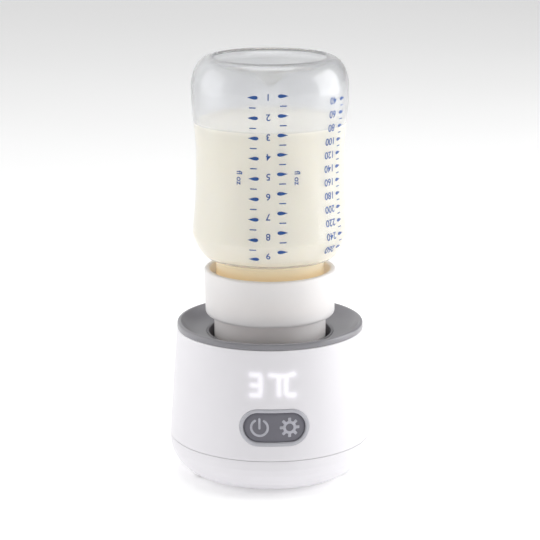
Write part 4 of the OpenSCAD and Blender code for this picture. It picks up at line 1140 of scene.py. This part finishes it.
class WARMER_OT_keypad(bpy.types.Operator):
    """Builds the key surround, both halves of the key plate and their symbols"""
    bl_idname = "warmer.keypad"
    bl_label = "Keys"

    def execute(self, context):
        make_piece("key_surround", surround_parts(), "warmer", "silver_plastic", ["keypad_bezel"], crease=60)
        for name, side in (("power_key", -1), ("settings_key", 1)):
            plate = make_piece(name + "_skin", key_parts(side), None, "dark_silicone", [name], crease=60)
            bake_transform(plate)
        middle = context.scene.warmer_keypad.key_middle
        left, right = (-middle, KEYPAD_LEVEL), (middle, KEYPAD_LEVEL)
        gear = gear_on_key(right, tip=4.4 * MM, root=2.95 * MM, hole=1.65 * MM)
        make_piece("power_symbol", power_symbol_parts(left), "power_key", "symbol_paint", crease=80)
        make_piece("gear_symbol", [gear], "settings_key", "symbol_paint", crease=80)
        return {"FINISHED"}


class WARMER_OT_flap(bpy.types.Operator):
    """Builds the flap over the charging port"""
    bl_idname = "warmer.flap"
    bl_label = "Port flap"

    def execute(self, context):
        make_piece("charging_flap", flap_parts(), "port_flap", "white_silicone", ["port_flap"])
        return {"FINISHED"}


class WARMER_OT_adapter(bpy.types.Operator):
    """Builds the adapter with its cup, neck, lugs and thread"""
    bl_idname = "warmer.adapter"
    bl_label = "Adapter"

    def execute(self, context):
        make_piece("screw_adapter", adapter_parts(), "adapter", "white_polypropylene", ["adapter"])
        return {"FINISHED"}


class WARMER_OT_bottle(bpy.types.Operator):
    """Builds the bottle and the milk in it"""
    bl_idname = "warmer.bottle"
    bl_label = "Bottle and milk"

    def execute(self, context):
        make_piece("feeding_bottle", bottle_parts(), "bottle", "clear_polypropylene", ["bottle"], crease=60)
        make_piece("milk_fill", milk_parts(), "milk", "milk", ["milk"], crease=60)
        return {"FINISHED"}


class WARMER_OT_scale(bpy.types.Operator):
    """Prints the three measuring scales on the bottle"""
    bl_idname = "warmer.scale"
    bl_label = "Printed scales"

    def execute(self, context):
        front = -context.scene.warmer_stage.camera_azimuth
        ounces, volumes, millilitres_in_ounce = range(1, 10), range(40, 261, 20), 29.57

        def at(degrees):
            return front + math.radians(degrees)

        # Two scales in fluid ounces share one column of numbers; their first and last levels differ
        first, last = np.array([176.9, 177.6]) * MM, np.array([105.8, 109.3]) * MM
        marks, digits = [], []
        for turn, tail, low, high in ((-12.5, -1, last[0], first[0]), (9.4, 1, last[1], first[1])):
            step = (low - high) / 8
            marks += [drop_mark(4.8 * MM, 1.9 * MM, tail, at(turn), high + step * (n - 1)) for n in ounces]
            marks += [bar_mark(3.1 * MM, 0.5 * MM, at(turn), high + step * (n - 0.5)) for n in ounces[:-1]]
        for n in ounces:
            level = (first + (last - first) * (n - 1) / 8).mean()
            digits.append(lettering(str(n), 4.1 * MM, at(-1.3), level))
        for turn in (-23.8, 20.7):
            digits.append(lettering("fl oz", 3.6 * MM, at(turn), 141.5 * MM, upright=True))
        # The millilitre scale is tied to the left ounce scale, with a short mark between its steps
        per_millilitre = (first[0] - last[0]) / (8 * millilitres_in_ounce)
        for volume in volumes:
            level = first[0] - (volume - millilitres_in_ounce) * per_millilitre
            marks.append(drop_mark(4.4 * MM, 1.7 * MM, 1, at(63.5), level))
            if volume < volumes[-1]:
                marks.append(bar_mark(2.8 * MM, 0.45 * MM, at(63.5), level - 3.0 * MM))
            digits.append(lettering(str(volume), 4.4 * MM, at(51.5), level))
        make_piece("scale_marks", marks, "bottle", "scale_ink", crease=60)
        make_piece("scale_numbers", digits, "bottle", "scale_ink", crease=30, solid=False)
        return {"FINISHED"}


class WARMER_OT_finishes(bpy.types.Operator):
    """Gives every CAD node that still shows the finish of its material slot"""
    bl_idname = "warmer.finishes"
    bl_label = "Finishes of the inner parts"

    def execute(self, context):
        for part in frame["record"]["subparts"]:
            node = frame["nodes"][part["node"]]
            for slot in node.material_slots:
                slot.material = finish(part["material_slot"])
        return {"FINISHED"}


class WARMER_PT_panel(bpy.types.Panel):
    """Lists the steps of the build"""
    bl_label = "Bottle warmer"
    bl_idname = "WARMER_PT_panel"
    bl_space_type = "VIEW_3D"
    bl_region_type = "UI"
    bl_category = "Warmer"

    def draw(self, context):
        for operator in STEPS:
            self.layout.operator(operator.bl_idname)


STEPS = (WARMER_OT_stage, WARMER_OT_housing, WARMER_OT_collar, WARMER_OT_keypad, WARMER_OT_flap,
         WARMER_OT_adapter, WARMER_OT_bottle, WARMER_OT_scale, WARMER_OT_finishes)
GROUPS = {"warmer_shell": ShellSettings, "warmer_keypad": KeypadSettings, "warmer_bottle": BottleSettings,
          "warmer_stage": StageSettings}


def register():
    """Adds the settings, the operators and the panel."""
    for name, group in GROUPS.items():
        bpy.utils.register_class(group)
        setattr(bpy.types.Scene, name, PointerProperty(type=group))
    for item in (*STEPS, WARMER_PT_panel):
        bpy.utils.register_class(item)


def unregister():
    """Removes what register added."""
    for item in reversed((*STEPS, WARMER_PT_panel)):
        bpy.utils.unregister_class(item)
    for name, group in GROUPS.items():
        delattr(bpy.types.Scene, name)
        bpy.utils.unregister_class(group)


def main():
    """Builds everything in order."""
    register()
    for operator in STEPS:
        group, name = operator.bl_idname.split(".")
        getattr(getattr(bpy.ops, group), name)()


if __name__ == "__main__":
    main()
